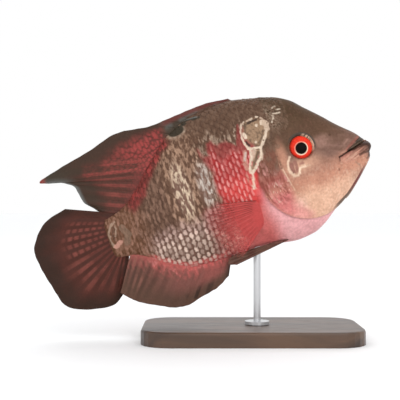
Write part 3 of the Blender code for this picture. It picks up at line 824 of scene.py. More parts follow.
@dataclass(frozen=True)
class Markings:
    """The flowerhorn's colours, worn by the skin and by the scales over it."""

    form: BodyForm
    plan: HeadPlan

    def head(self, along: Array, above: Array) -> Array:
        """Colours of the head and the gill cover, painted shade and painted highlights among them.

        Args:
            along: Millimetres behind the snout.
            above: Millimetres over the body axis.

        Returns:
            Linear colours.
        """
        sheet = Canvas(along, above, Tone.PEACH)
        lay, patch = sheet.lay, sheet.patch
        drift = 4 * (sheet.grain(7, 7, 3) - 0.5)
        up = above + drift
        lay(ramp(along, 24, 10) * ramp(above, 0, -8), Tone.JAW)
        lay(ramp(along, 50, 60) * ramp(above, -10, -20), Tone.ROSE_CHEEK, 0.8)
        lay(ramp(up, -19, -7), Tone.CHEEK)
        lay(ramp(up, -8, 2), Tone.TAN)
        lay(ramp(up, 0, 9), Tone.DUSKY_MAUVE)
        lay(ramp(up, 9, 22), Tone.HEAD_BROWN)
        lay(ramp(up, 24, 46), Tone.CROWN)
        lay(patch((60.5, 12), (3.5, 11), 0.7, 4), Tone.EYE_TAN, 0.9)
        lay(patch((49, 5.0), (12, 4.5), 0.8, -6), Tone.CHEEK_LIT, 0.85)
        lay(patch((28.5, 9.0), (8, 4.0), 0.8, 8), Tone.DUSKY_MAUVE, 0.7)
        # A painted highlight on the snout, ahead of the eye
        lay(patch((31.5, 16.2), (6, 3.4), 0.9, 6), Tone.SNOUT_LIGHT, 0.6)
        veins = noise((along + 2.2 * above) / 9, (above - 0.45 * along) / 1.4, 16)
        lay(ramp(veins, 0.55, 0.8) * ramp(along, 40, 30) * window(above, 2, 20, 5), Tone.SNOUT_LIGHT, 0.18)
        lay(ramp(veins, 0.4, 0.2) * ramp(along, 42, 30) * window(above, 2, 24, 5), Tone.HEAD_BROWN, 0.3)
        speck = sheet.grain(0.9, 1.3, 13)
        lay(ramp(speck, 0.68, 0.85) * ramp(above, 6, -6), Tone.CREAM, 0.16)
        lay(ramp(speck, 0.3, 0.12), Tone.LOOP_MAUVE, 0.14)
        self._gill_cover(sheet, drift)
        self._eye_ring(sheet)
        squiggle = cobbles(along / 1.6, above / 2.2, 27)
        lay((1 - squiggle) * patch((59, 43), (6, 9), 0.5, -20), Tone.SAND, 0.35)
        sheet.draw(NAPE_FLECKS, 0.3)
        self._lips(sheet)
        # A dark red band along the chin's underside: painted shade of the lower jaw's underside, over its
        # red
        rim = self.form.over_belly(along, above) + 0.2 * drift
        under = ramp(rim, 3.8, 3.2) * (0.35 + 0.65 * ramp(rim, 0.3, 1.4)) * ramp(above, -2, -8)
        lay(under * window(along, 9, 36, 5), Tone.LIP_DARK, 0.85)
        lay(under * window(along, 9, 21, 4), Tone.CHIN_RED, 0.85)
        return sheet.colour

    def _lips(self, sheet: Canvas) -> None:
        """Lays the lips' brown tip, their rosy sides with fine wrinkles, and the lines round the mouth,
        with painted shade of the upper lip and the mouth's slit and a painted highlight along the lower
        lip.

        Args:
            sheet: The head's canvas.
        """
        lay, along, above = sheet.lay, sheet.along, sheet.above
        lower = ramp(distance_to_path(along, above, ((2, 1.5), (10, 1.2), (19, 0.4))), 5.5, 1.5)
        lay(lower, Tone.LIP_ROSE, 0.75)
        below = ramp(above + 0.24 * along, 7.6, 6.6)
        tip = ramp(along - 0.5 * above, 9, -2) * ramp(above, -9, 0) * below
        lay(tip, Tone.LIP_TIP, 0.9)
        lay(lower * ramp(above + 0.24 * along, 4.4, 6.2) * below, Tone.LIP_RED, 0.7)
        wrinkle = noise((along - 0.3 * above) / 6, (above + 0.32 * along) / 0.9, 18)
        lay(lower * ramp(wrinkle, 0.5, 0.75) * ramp(along, 22, 8), Tone.LIP_TIP, 0.55)
        lay(lower * ramp(wrinkle, 0.4, 0.2) * ramp(along, 2, 8), Tone.JAW, 0.5)
        sheet.draw(MOUTH_STROKES, 0.3, 0.4)

    def _gill_cover(self, sheet: Canvas, drift: Array) -> None:
        """Lays the gill cover's colours, brown above, red and then pink below, with short streaks and a
        painted highlight along its lower rim.

        Args:
            sheet: The head's canvas.
            drift: Millimetres by which the colours' edges wander.
        """
        lay, along, above = sheet.lay, sheet.along, sheet.above
        radius, turn = self.plan.round_cheek(along, above)
        heights, fronts = np.array(self.plan.preopercle[::-1])[:, ::-1].T
        behind = along - np.interp(above, heights, fronts) - 0.7 * drift
        cover = ramp(behind, -0.8, 1.5 + 9 * ramp(above, 0, -22)) * ramp(above, 26, 18)
        level = above + 0.8 * drift
        lay(cover * ramp(level, 2, 10), Tone.GILL_BROWN)
        lay(cover * window(level, -5, 5, 5), Tone.GILL_ROSE)
        lay(cover * ramp(level, -3, -12), Tone.GILL_PINK)
        lay(cover * ramp(level, -14, -26) * ramp(turn, -0.7, -1.2), Tone.GILL_PALE)
        streak = noise(turn * 9, (radius + 0.4 * drift) / 0.75, 11)
        lay(ramp(streak, 0.62, 0.85) * cover * window(level, -26, 4, 5), Tone.FLANK_PINK, 0.35)
        shade = ramp(streak, 0.45, 0.2) * cover * window(level, -14, 10, 5)
        lay(shade * ramp(behind, 1, 6), Tone.GILL_RED, 0.75)
        spark = ramp(noise(turn * 11, radius / 0.55, 14), 0.84, 0.94)
        lay(spark * cover * window(above, -16, 0, 3), Tone.CREAM, 0.55)
        broken = ramp(sheet.grain(2.2, 2.6, 15), 0.25, 0.6)
        line = sheet.trail(self.plan.preopercle[:7], 0.3, 0.4) * window(above, -9, 7, 4)
        faint = sheet.trail(self.plan.preopercle[:5], 0.35, 0.5) + sheet.trail(PREOPERCLE_ECHO, 0.25, 0.4)
        lay(faint * broken, Tone.PEACH, 0.45)
        lay(line * (0.35 + 0.65 * broken), Tone.LOOP_CREAM, 0.8)
        # A painted highlight along the lower rim of the gill cover
        rim = ramp(np.abs(radius - self.plan.cheek_radius + 0.5), 0.6, 0.2) * ramp(above, 4, -12)
        lay(rim * ramp(turn, -2.2, -1.6), Tone.PEACH, 0.2)

    def _eye_ring(self, sheet: Canvas) -> None:
        """Lays the dark ring round the eye and the cream loop beneath it.

        Args:
            sheet: The head's canvas.
        """
        lay, along, above = sheet.lay, sheet.along, sheet.above
        away = self.plan.from_eye(along, above)
        ahead = np.arctan2(above - self.plan.eye[1], self.plan.eye[0] - along)
        lit = ramp(np.cos(ahead - math.radians(60)), -0.3, 0.6)
        lay(window(away, 7.0, 9.9, 0.5) * lit, Tone.EYE_SHADE, 0.9)
        lay(window(away, 7.0, 8.9, 0.4) * (1 - lit), Tone.GILL_BROWN, 0.7)
        snoutward = ramp(np.cos(ahead - math.radians(17)), 0.5, 0.8)
        lay(window(away, 7.6, 8.5, 0.2) * snoutward, Tone.IRIS_CREAM, 0.95)
        sheet.draw(EYE_LOOP, 0.7)

    def trunk(self, along: Array, above: Array) -> ScalePaint:
        """Colours of the trunk and the tail stalk.

        Args:
            along: Millimetres behind the snout.
            above: Millimetres over the body axis.

        Returns:
            The colours of the scales' edges and flecks.
        """
        edge, spot = Canvas(along, above, Tone.BACK_BROWN), Canvas(along, above, Tone.BACK_FLECK)
        patch = edge.patch
        warp, fine = edge.grain(9, 9, 5) - 0.5, edge.grain(3, 5, 6) - 0.5
        a, b = along + 5 * warp + 3 * fine, above + 6 * warp + 5 * fine
        strength, breadth, streak = (np.full(len(along), value) for value in (0.65, 0.9, 1.0))

        def zone(mask: Array, ground: Tone, fleck: Tone, lit: float, broad: float, drawn: float) -> None:
            """Gives one region its colours and flecks.

            Args:
                mask: The region.
                ground: The edge colour.
                fleck: The flecks' colour.
                lit: Their strength.
                broad: Their breadth.
                drawn: How far they are drawn out in streaks.
            """
            edge.lay(mask, ground)
            spot.lay(mask, fleck)
            for layer, value in ((strength, lit), (breadth, broad), (streak, drawn)):
                layer += mask * (value - layer)

        zone(ramp(b, 14, 2) * window(a, 116, 200, 6), Tone.PEARL_EDGE, Tone.PEARL, 0.95, 1.4, 0.1)
        rear = window(b, -8, 36, 5) * window(a, 138, 168, 5)
        zone(rear, Tone.GREY_BROWN, Tone.GREY_FLECK, 0.75, 1.2, 0.75)
        zone(ramp(a, 156, 170), Tone.STALK_BROWN, Tone.STALK_ROSE, 0.6, 1.3, 0.7)
        band = window(a, 110, 142, 4) * window(b, -6, 50, 6)
        zone(band, Tone.BAND_BROWN, Tone.BAND_BEIGE, 0.85, 1.2, 1.0)
        zone(patch((130.7, 14), (5.5, 19), 0.4, 1), Tone.PATCH_BROWN, Tone.CREAM_PATCH, 1.0, 1.6, 1.0)
        zone(window(a, 96, 122, 6) * ramp(b, 4, -4), Tone.LOWER_ROSE, Tone.LOWER_PINK, 0.85, 1.35, 0.15)
        zone(window(a, 60, 106, 5) * ramp(b, 0, -10), Tone.BELLY_ROSE, Tone.FLANK_PINK, 0.45, 0.8, 0.3)
        drip = 12 * (edge.grain(1.7, 16, 8) - 0.5)
        red = window(a, 74, 109, 2.5) * window(b, -11, 99, 3) * ramp(b + drip, 40, 34)
        zone(red, Tone.FLANK_RED, Tone.FLANK_PINK, 0.75, 0.85, 0.15)
        zone(red * ramp(b + drip, 20, 34), Tone.FLANK_UPPER, Tone.FLANK_DUSTY, 0.6, 0.8, 0.5)
        zone(window(a, 78, 112, 3) * window(b + drip, 36, 44, 2), Tone.BACK_BROWN, Tone.SAND, 0.5, 0.8, 1.0)
        bright = patch((89, 1), (20, 10), 0.6) * ramp(a, 112, 104)
        zone(bright, Tone.FLANK_BRIGHT, Tone.FLANK_PINK, 0.75, 0.75, 0.1)
        zone(patch((114.4, 14), (5.0, 15), 0.4, 4), Tone.PATCH_BROWN, Tone.PALE_LILAC, 1.0, 1.4, 0.8)
        zone(ramp(along, 86, 72) * ramp(above, 6, -4), Tone.THROAT, Tone.THROAT, 0.1, 0.8, 0.3)
        zone(ramp(b, -14, -30) * ramp(a, 112, 98), Tone.BELLY_ROSE, Tone.FLANK_PINK, 0.3, 0.8, 0.4)
        zone(ramp(along, 84, 70) * ramp(above, 0, -8), Tone.THROAT, Tone.THROAT, 0.1, 0.8, 0.3)
        pearl = patch((138, -24), (24, 11), 0.5, 6)
        edge.lay(pearl, Tone.PATCH_BROWN, 0.5)
        spot.lay(pearl, Tone.CREAM, 0.45)
        strength += pearl * (1.0 - strength)
        breadth += pearl * (1.4 - breadth)
        self._dorsal_base(edge, spot, strength, a, b)
        self._keyhole(edge, strength)
        strength *= 1 - 0.8 * edge.draw(TAIL_OCELLUS, 0.9, 0.45)
        anal = self.form.over_belly(along, above)
        scallop = 3.2 + 1.6 * np.abs(np.sin(along / 2.4))
        edge.lay(ramp(anal, scallop + 1.2, scallop - 1.2) * window(along, 112, 166, 4), Tone.ANAL_ROSE, 0.9)
        strength *= 0.45 + 0.5 * edge.grain(6, 6, 12) + 0.5 * edge.grain(2.4, 3.4, 17)
        return ScalePaint(edge.colour, spot.colour, strength, breadth, streak)

    def _dorsal_base(self, edge: Canvas, spot: Canvas, strength: Array, a: Array,
                     b: Array) -> None:
        """Lays the red root of the soft dorsal fin, the black spot and the slate streak above it.

        Args:
            edge: The canvas of the scales' edges.
            spot: The canvas of their flecks.
            strength: How strongly the flecks show.
            a: Wandering millimetres behind the snout.
            b: Wandering millimetres over the axis.
        """
        back = self.form.back(np.clip(edge.along, 0, BODY_MM) / BODY_MM) * BODY_MM
        under = back - edge.above + 3 * (edge.grain(4, 4, 9) - 0.5)
        wide = 9 + 5 * ramp(a, 138, 158)
        red = ramp(under, wide, wide - 5) * window(a, 130, 168, 4)
        edge.lay(red, Tone.BASE_RED)
        spot.lay(red, Tone.BASE_SPARK)
        strength += red * (0.75 - strength)
        edge.lay(edge.patch((122.2, 54.6), (7.2, 4.6), 0.12, -4), Tone.SAND, 0.55)
        spot_mask = edge.patch((121.8, 55.2), (5.9, 3.5), 0.12, -4)
        streak = edge.trail(((116.5, 58.2), (111.5, 59.2), (104.5, 58.9)), 1.5, 0.6)
        streak *= ramp(edge.grain(2.5, 1.2, 23), 0.25, 0.45)
        for mask in (spot_mask, streak):
            edge.lay(mask, Tone.OLIVE_BLACK)
            strength *= 1 - mask
        edge.lay(edge.trail(((119, 60.6), (112, 60.6), (105, 59.8)), 0.35, 0.5), Tone.SLATE, 0.9)

    def _keyhole(self, edge: Canvas, strength: Array) -> None:
        """Lays the keyhole's taupe middle, behind the head. Its cream ring is drawn last, over the skin.

        Args:
            edge: The canvas of the scales' edges.
            strength: How strongly the flecks show.
        """
        taupe = edge.patch((71.0, 36.4), (8.4, 9.6), 0.2, -20)
        edge.lay(taupe, Tone.TAUPE)
        edge.lay(taupe * ramp(edge.grain(1.2, 1.2, 22), 0.35, 0.2), Tone.INK, 0.4)
        strength *= 1 - 0.9 * taupe

    def all_over(self, along: Array, above: Array) -> ScalePaint:
        """Colours anywhere on the body.

        Args:
            along: Millimetres behind the snout.
            above: Millimetres over the body axis.

        Returns:
            The colours of the skin, and of the flecks on the scales over it.
        """
        trunk = self.trunk(along, above)
        head = self.head(along, above)
        behind = self.plan.behind_gill(along, above)[:, None]
        trunk.ground = head + behind * (trunk.ground - head)
        radius, turn = self.plan.round_cheek(along, above)
        # A darker line just outside the gill cover's rim: painted shade in the slit under the cover's edge
        slit = ramp(np.abs(radius - self.plan.cheek_radius - 0.5), 0.9, 0.2)
        slit = slit * window(turn, -2.0, -0.1, 0.15)
        trunk.ground += (0.14 * slit)[:, None] * (Tone.LOOP_MAUVE.linear * 0.6 - trunk.ground)
        sheet = Canvas(along, above, Tone.CREAM)
        sheet.colour = trunk.ground
        trunk.strength *= 1 - sheet.draw(KEYHOLE, 0.7)
        return trunk


@dataclass(frozen=True)
class Relief:
    """How the skin stands out from the plain body form, or sinks into it, in metres."""

    form: BodyForm
    plan: HeadPlan
    coat_depth: float = 0.0005
    cover_rise: float = 0.0009
    cover_groove: float = 0.0003
    socket_depth: float = 0.0042
    orbit_rise: float = 0.0008
    mouth_depth: float = 0.0022
    upper_lip: float = 0.0014
    lower_lip: float = 0.0018
    nostril_depth: float = 0.0012
    nostril_rim: float = 0.0003
    lip_crease: float = 0.0004
    cheek_groove: float = 0.00035
    cheek_swell: float = 0.0002
    fine_relief: float = 0.00006
    slow_relief: float = 0.00025

    def mouth_line(self) -> Array:
        """World points along the line of the mouth, from the right corner round to the left.

        Returns:
            The points, one a row.
        """
        bend = 1 - np.cos(np.linspace(0, math.pi / 2, 60))
        front, corner = np.array(self.plan.mouth_front), np.array(self.plan.mouth_corner)
        along, above = (front + (corner - front) * bend[:, None]).T / BODY_MM
        side = self.form.side(along, above)
        side[0] = 0.0
        left = self.form.place(along, above, side)
        return np.concatenate([left[:0:-1] * (1, -1, 1), left])

    def lips(self, points: Array, above: Array) -> Array:
        """The lips' rolls and the slit between them.

        Args:
            points: World positions on the plain form.
            above: Their millimetres over the axis.

        Returns:
            Metres to stand out by.
        """
        line = self.mouth_line()
        _, line_above = self.form.millimetres(line)
        gap = np.linalg.norm(points[:, None, :] - line[None, :, :], axis=-1)
        nearest = gap.argmin(axis=1)
        away = gap[np.arange(len(points)), nearest] / MM
        middle = (len(line) - 1) / 2
        corner = np.abs(nearest - middle) / middle
        fade = 1 - 0.75 * ramp(corner, 0.75, 1.0)
        front = np.exp(-(corner / 0.3) ** 2)
        over = above > line_above[nearest]
        middle_of = np.where(over, 1.5, 2.2 + 2.0 * front)
        height = np.where(over, self.upper_lip * (1 - 0.75 * front), self.lower_lip * (0.55 + 0.85 * front))
        share = np.clip(1 - (away / middle_of - 1) ** 2, 0.0, 1.0)
        crease = self.lip_crease * np.exp(-((away - 2 * middle_of) / 0.8) ** 2) * ~over * (1 - front)
        slit = self.mouth_depth * (1 - 0.6 * front) * np.exp(-(away / 0.42) ** 2)
        return fade * (height * share ** (0.6 + 0.9 * front) - crease) - slit

    def features(self, along: Array, above: Array) -> Array:
        """The gill cover, cheek grooves, eye sockets and nostrils.

        Args:
            along: Millimetres behind the snout.
            above: Millimetres over the body axis.

        Returns:
            Metres to stand out by.
        """
        plan = self.plan
        radius, turn = plan.round_cheek(along, above)
        reach = radius - plan.cheek_radius
        strength = window(turn, math.radians(-68), math.radians(-8), 0.14)
        strength += 0.45 * window(turn, math.radians(-122), math.radians(-68), 0.12)
        rise = 0.3 + 0.7 * ramp(reach, -16, -1)
        inside = ramp(along, plan.gill_front - 1.6, plan.gill_front + 0.6) + ramp(turn, -1.15, -1.35)
        cover = self.cover_rise * rise * np.clip(inside, 0, 1) * ramp(reach, 1.0, -0.3)
        groove = self.cover_groove * np.exp(-((reach - 1.0) / 0.7) ** 2)
        out = np.clip(strength, 0, 1) * (cover - groove)
        cheek_line = distance_to_path(along, above, plan.preopercle)
        out -= self.cheek_groove * np.exp(-(cheek_line / 0.7) ** 2)
        out += self.cheek_swell * np.exp(-((cheek_line - 1.8) / 1.1) ** 2)
        away = plan.from_eye(along, above)
        out -= self.socket_depth * ramp(away, plan.eye_radius + 0.5, plan.eye_radius - 1.2)
        out += self.orbit_rise * np.exp(-((away - plan.eye_radius - 1.1) / 0.8) ** 2)
        pit = np.hypot(along - plan.nostril[0], above - plan.nostril[1])
        out -= self.nostril_depth * np.exp(-(pit / 0.75) ** 2)
        out += self.nostril_rim * np.exp(-((pit - 1.5) / 0.6) ** 2)
        grain = noise(along / 2.2, above / 2.2, 31) - 0.5
        slow = noise(along / 8, above / 8, 32) - 0.5
        head = 1 - plan.behind_gill(along, above)
        return out + head * (self.fine_relief * grain + self.slow_relief * slow)

    def at(self, points: Array) -> Array:
        """How far the skin stands out from the plain form.

        Args:
            points: World positions on the plain form.

        Returns:
            Metres.
        """
        along, above = self.form.millimetres(points)
        out = self.features(along, above)
        near = (along < 28) & (np.abs(above - 4) < 16)
        out[near] += self.lips(points[near], above[near])
        return out - self.coat_depth * (0.15 + 0.85 * self.plan.behind_gill(along, above))


class NodeMaker:
    """A node tree being built, with short calls for what it needs."""

    def __init__(self, tree: NodeTree) -> None:
        """Takes the tree that the nodes go in."""
        self.tree = tree

    def feed(self, target: NodeSocket, value: object) -> None:
        """Gives an input socket its value.

        Args:
            target: The socket.
            value: A socket to link, or a plain value to set.
        """
        if isinstance(value, NodeSocket):
            self.tree.links.new(value, target)
        else:
            target.default_value = value

    def node(self, kind: str, inputs: Inputs | None = None, **settings: object) -> Node:
        """Adds a node.

        Args:
            kind: Its type.
            inputs: Sockets or plain values for its inputs, by name or number.
            settings: Its own properties.

        Returns:
            The new node.
        """
        made = self.tree.nodes.new(kind)
        for key, value in settings.items():
            setattr(made, key, value)
        for key, value in (inputs or {}).items():
            self.feed(made.inputs[key], value)
        return made

    def maths(self, operation: str, first: object, second: object = 0.0) -> NodeSocket:
        """A sum of two values or sockets."""
        return self.node("ShaderNodeMath", {0: first, 1: second}, operation=operation).outputs[0]

    def times(self, first: object, second: object) -> NodeSocket:
        """Two values or sockets multiplied."""
        return self.maths("MULTIPLY", first, second)

    def grain(self, place: NodeSocket, scale: object, detail: float = 2.0, distortion: float = 0.0
              ) -> NodeSocket:
        """Noise over a place."""
        inputs = {"Vector": place, "Scale": scale, "Detail": detail, "Distortion": distortion}
        return self.node("ShaderNodeTexNoise", inputs).outputs[0]

    def here(self, scale: tuple[float, float, float] | None = None) -> NodeSocket:
        """The object's own coordinates.

        Args:
            scale: What stretches them, or nothing.

        Returns:
            The coordinates' socket.
        """
        place = self.node("ShaderNodeTexCoord").outputs["Object"]
        if scale is None:
            return place
        return self.node("ShaderNodeMapping", {"Vector": place, "Scale": scale}).outputs["Vector"]


class Finish(NodeMaker):
    """A material being built."""

    def __init__(self, name: str, roughness: float, **constants: float | tuple) -> None:
        """Makes a Principled material.

        Args:
            name: The material's name.
            roughness: Its roughness where nothing drives it.
            constants: Other values set on the shader's own sockets, by name with underscores for spaces.
        """
        self.material = bpy.data.materials.new(name)
        self.material.use_nodes = True
        super().__init__(self.material.node_tree)
        self.shader = self.tree.nodes["Principled BSDF"]
        self.dress(Roughness=roughness, **constants)

    def dress(self, **values: object) -> None:
        """Links sockets or sets values on the shader."""
        for socket, value in values.items():
            self.feed(self.shader.inputs[socket.replace("_", " ")], value)

    def tint(self, name: str = "ground") -> Node:
        """A colour stored on the piece."""
        return self.node("ShaderNodeAttribute", attribute_name=name)

    def group(self, tree: NodeTree, **values: object) -> Node:
        """Places a shared node group, its inputs by name with underscores for spaces."""
        inputs = {socket.replace("_", " "): value for socket, value in values.items()}
        return self.node("ShaderNodeGroup", node_tree=tree, inputs=inputs)

    def between(self, value: NodeSocket, low: float, high: float) -> NodeSocket:
        """A value from 0 to 1 carried to another range."""
        inputs = {"Value": value, "To Min": low, "To Max": high}
        return self.node("ShaderNodeMapRange", inputs).outputs[0]

    def bump(self, height: NodeSocket, strength: float, distance: float) -> None:
        """Feeds a height to the shader's normal.

        Args:
            height: The height's socket, from 0 to 1.
            strength: How strongly it shows.
            distance: Its depth in metres.
        """
        inputs = {"Strength": strength, "Distance": distance, "Height": height}
        self.dress(Normal=self.node("ShaderNodeBump", inputs).outputs["Normal"])


class GroupMaker(NodeMaker):
    """A shader node group being built."""

    def __init__(self, name: str, inputs: dict[str, float | tuple], outputs: dict[str, str]) -> None:
        """Makes the group and its sockets.

        Args:
            name: The group's name.
            inputs: Default values by socket name; a tuple makes a colour or vector.
            outputs: Socket types by name.
        """
        super().__init__(bpy.data.node_groups.new(name, "ShaderNodeTree"))
        face = self.tree.interface
        for label, value in inputs.items():
            kind = "NodeSocketFloat"
            if isinstance(value, tuple):
                kind = "NodeSocketColor" if len(value) == 4 else "NodeSocketVector"
            face.new_socket(label, in_out="INPUT", socket_type=kind).default_value = value
        for label, kind in outputs.items():
            face.new_socket(label, in_out="OUTPUT", socket_type=kind)
        self.inputs = self.tree.nodes.new("NodeGroupInput").outputs
        self.outputs = self.tree.nodes.new("NodeGroupOutput").inputs

    def remap(self, value: object, bounds: tuple[float, float], results: tuple[float, float] = (0.0, 1.0)
              ) -> NodeSocket:
        """A value carried smoothly from one range to another."""
        inputs = dict(enumerate((value, *bounds, *results)))
        return self.node("ShaderNodeMapRange", inputs, interpolation_type="SMOOTHSTEP").outputs[0]

    def blend(self, share: object, first: object, second: object, mode: str = "MIX") -> NodeSocket:
        """A mix of two colours."""
        inputs = {0: share, 6: first, 7: second}
        return self.node("ShaderNodeMix", inputs, data_type="RGBA", blend_type=mode).outputs[2]

    def give(self, **values: NodeSocket) -> None:
        """Links the group's outputs."""
        for name, value in values.items():
            self.feed(self.outputs[name], value)


class GeometryMaker(NodeMaker):
    """A Geometry Nodes tree being built."""

    def __init__(self, name: str, inputs: dict[str, str]) -> None:
        """Makes the tree and its sockets.

        Args:
            name: The tree's name.
            inputs: Socket kinds by name.
        """
        super().__init__(bpy.data.node_groups.new(name, "GeometryNodeTree"))
        for label, kind in inputs.items():
            self.tree.interface.new_socket(label, in_out="INPUT", socket_type=f"NodeSocket{kind}")
        self.tree.interface.new_socket("Result", in_out="OUTPUT", socket_type="NodeSocketGeometry")
        self.inputs = self.tree.nodes.new("NodeGroupInput").outputs

    def named(self, name: str) -> NodeSocket:
        """A number stored on the points."""
        made = self.node("GeometryNodeInputNamedAttribute", {"Name": name}, data_type="FLOAT")
        return made.outputs["Attribute"]

    def end(self, shape: NodeSocket, finish: Material) -> NodeTree:
        """Realizes the instances and gives the shape its material.

        Args:
            shape: The finished geometry.
            finish: The material.

        Returns:
            The finished tree.
        """
        real = self.node("GeometryNodeRealizeInstances", {"Geometry": shape})
        inputs = {"Geometry": real.outputs["Geometry"], "Material": finish}
        dressed = self.node("GeometryNodeSetMaterial", inputs).outputs["Geometry"]
        self.node("NodeGroupOutput", {"Result": dressed})
        return self.tree


def mottle_group() -> NodeTree:
    """Fine living variation of a colour over the surface, with a height for bump.

    Returns:
        The node group.
    """
    made = GroupMaker(
        "living_mottle",
        {"Colour": (0.5, 0.5, 0.5, 1.0), "Grains per metre": 700.0, "Amount": 0.3,
         "Stretch": (1.0, 1.0, 1.0)},
        {"Colour": "NodeSocketColor", "Height": "NodeSocketFloat", "Roughness": "NodeSocketFloat"},
    )
    colour, grains, amount, stretch = made.inputs[:4]
    place = made.here()
    stretched = made.node("ShaderNodeVectorMath", {0: place, 1: stretch}, operation="MULTIPLY")
    fine = made.grain(stretched.outputs[0], grains, 3.0)
    broad = made.grain(place, made.times(grains, 0.22))
    both = made.maths("ADD", made.times(fine, 0.6), made.times(broad, 0.4))
    shade = made.times(made.remap(both, (0.35, 0.65), (1.0, 0.0)), amount)
    deep = made.blend(1.0, colour, (0.45, 0.36, 0.33, 1.0), "MULTIPLY")
    rough = made.remap(broad, (0.3, 0.7), (0.34, 0.52))
    made.give(Colour=made.blend(shade, colour, deep), Height=fine, Roughness=rough)
    return made.tree


def scale_face_group(pitch: float) -> NodeTree:
    """The look of one scale: a dark edge, a pale fleck or streaks, and fine growth rings.

    Args:
        pitch: How far the body's axis is turned up, along which the streaks stand upright.

    Returns:
        The node group.
    """
    made = GroupMaker(
        "scale_face",
        {"Ground": (0.5, 0.5, 0.5, 1.0), "Fleck": (0.8, 0.8, 0.8, 1.0), "Strength": 0.5, "Breadth": 1.0,
         "Face": (0.0, 0.0, 0.0), "Chance": 0.5, "Streak": 0.0, "Rim": 0.08},
        {"Colour": "NodeSocketColor", "Height": "NodeSocketFloat"},
    )
    ground, fleck, strength, breadth, face, chance, streak, dark_rim = made.inputs[:8]
    plus, minus, times = (partial(made.maths, kind) for kind in ("ADD", "SUBTRACT", "MULTIPLY"))

    def hypotenuse(x: NodeSocket, y: NodeSocket) -> NodeSocket:
        """The length of a pair."""
        return made.maths("SQRT", plus(made.maths("POWER", x, 2.0), made.maths("POWER", y, 2.0)))

    place = made.here()
    wobble = made.grain(place, 700.0, 3.0)
    back, across, _ = made.node("ShaderNodeSeparateXYZ", {0: face}).outputs
    shift = times(minus(chance, 0.5), 0.5)
    reach_x = made.maths("DIVIDE", minus(back, 0.60), times(breadth, 0.24))
    reach_y = made.maths("DIVIDE", plus(across, shift), minus(1.15, times(breadth, 0.28)))
    reach = plus(hypotenuse(reach_x, reach_y), times(minus(wobble, 0.5), 1.8))
    spot = times(made.remap(reach, (1.15, 0.55)), made.remap(chance, (0.15, 0.85), (0.35, 1.1)))
    upright = made.node("ShaderNodeMapping", {
        "Vector": place, "Rotation": (0.0, -pitch, 0.0), "Scale": (0.0020, 0.0025, 0.0056),
    }, vector_type="TEXTURE")
    drawn = made.remap(made.grain(upright.outputs[0], 1.0, 3.0), (0.44, 0.60))
    mask = times(plus(times(spot, minus(1.0, streak)), times(drawn, streak)), strength)
    rim = hypotenuse(back, across)
    edge = times(made.remap(rim, (0.78, 0.99)), dark_rim)
    shaded = made.blend(edge, ground, made.blend(1.0, ground, (0.32, 0.24, 0.22, 1.0), "MULTIPLY"))
    rings = made.remap(made.maths("SINE", times(rim, 42.0)), (-1.0, 1.0))
    made.give(Colour=made.blend(mask, shaded, fleck), Height=rings)
    return made.tree


@dataclass(frozen=True)
class TintedFinish:
    """Moist skin, a fin or an eye, coloured by the tint stored on it."""

    name: str
    mottle: NodeTree
    grains: float
    amount: float
    roughness: float = 0.5
    coat: float = 0.02
    coat_roughness: float = 0.3
    gloss: float = 0.1
    bump: float = 0.0
    bump_depth: float = 0.0002
    clear: bool = False

    def build(self) -> Material:
        """Makes the material.

        Returns:
            The material.
        """
        made = Finish(
            self.name, self.roughness, Coat_Weight=self.coat, Coat_Roughness=self.coat_roughness,
            Specular_IOR_Level=self.gloss)
        tint = made.tint().outputs
        mottled = made.group(
            self.mottle, Grains_per_metre=self.grains, Amount=self.amount, Colour=tint["Color"]).outputs
        made.dress(Base_Color=mottled["Colour"])
        if self.clear:
            made.dress(Alpha=tint["Alpha"])
        if self.bump:
            made.dress(Roughness=mottled["Roughness"])
            made.bump(mottled["Height"], self.bump, self.bump_depth)
        return made.material


@dataclass(frozen=True)
class ScaleFinish:
    """Overlapping scales with a fleck on each."""

    mottle: NodeTree
    face: NodeTree
    name: str = "scales"

    def build(self) -> Material:
        """Makes the material.

        Returns:
            The material.
        """
        made = Finish(self.name, 0.5, Coat_Weight=0.02, Coat_Roughness=0.3, Specular_IOR_Level=0.12)
        ground, fleck, habit = (made.tint(name).outputs for name in ("ground", "fleck", "habit"))
        face = made.node("ShaderNodeUVMap", uv_map="ScaleFace").outputs["UV"]
        strength, half_breadth, chance = made.node("ShaderNodeSeparateXYZ", {0: habit["Vector"]}).outputs
        scale = made.group(
            self.face, Ground=ground["Color"], Fleck=fleck["Color"], Strength=strength, Chance=chance,
            Breadth=made.times(half_breadth, 2.0), Streak=habit["Alpha"], Face=face).outputs
        mottled = made.group(
            self.mottle, Grains_per_metre=1000.0, Amount=0.3, Stretch=(1.6, 1.0, 0.7),
            Colour=scale["Colour"]).outputs
        made.dress(Base_Color=mottled["Colour"], Roughness=mottled["Roughness"])
        made.bump(scale["Height"], 0.15, 0.0001)
        return made.material


@dataclass(frozen=True)
class WoodFinish:
    """Dark oiled wood with its grain along the base."""

    dark: tuple[float, float, float, float] = (0.030, 0.014, 0.007, 1.0)
    light: tuple[float, float, float, float] = (0.105, 0.052, 0.026, 1.0)
    name: str = "oiled_walnut"

    def build(self) -> Material:
        """Makes the material.

        Returns:
            The material.
        """
        made = Finish(self.name, 0.38, Coat_Weight=0.15, Coat_Roughness=0.2)
        place = made.here((6.0, 46.0, 46.0))
        grain, pores = made.grain(place, 1.6, 6.0, 0.9), made.grain(place, 14.0)
        colours = made.node("ShaderNodeValToRGB", {"Fac": grain})
        for stop, spot, colour in zip(colours.color_ramp.elements, (0.34, 0.66), (self.dark, self.light)):
            stop.position, stop.color = spot, colour
        made.dress(Base_Color=colours.outputs["Color"], Roughness=made.between(pores, 0.32, 0.55))
        made.bump(pores, 0.25, 0.0002)
        return made.material


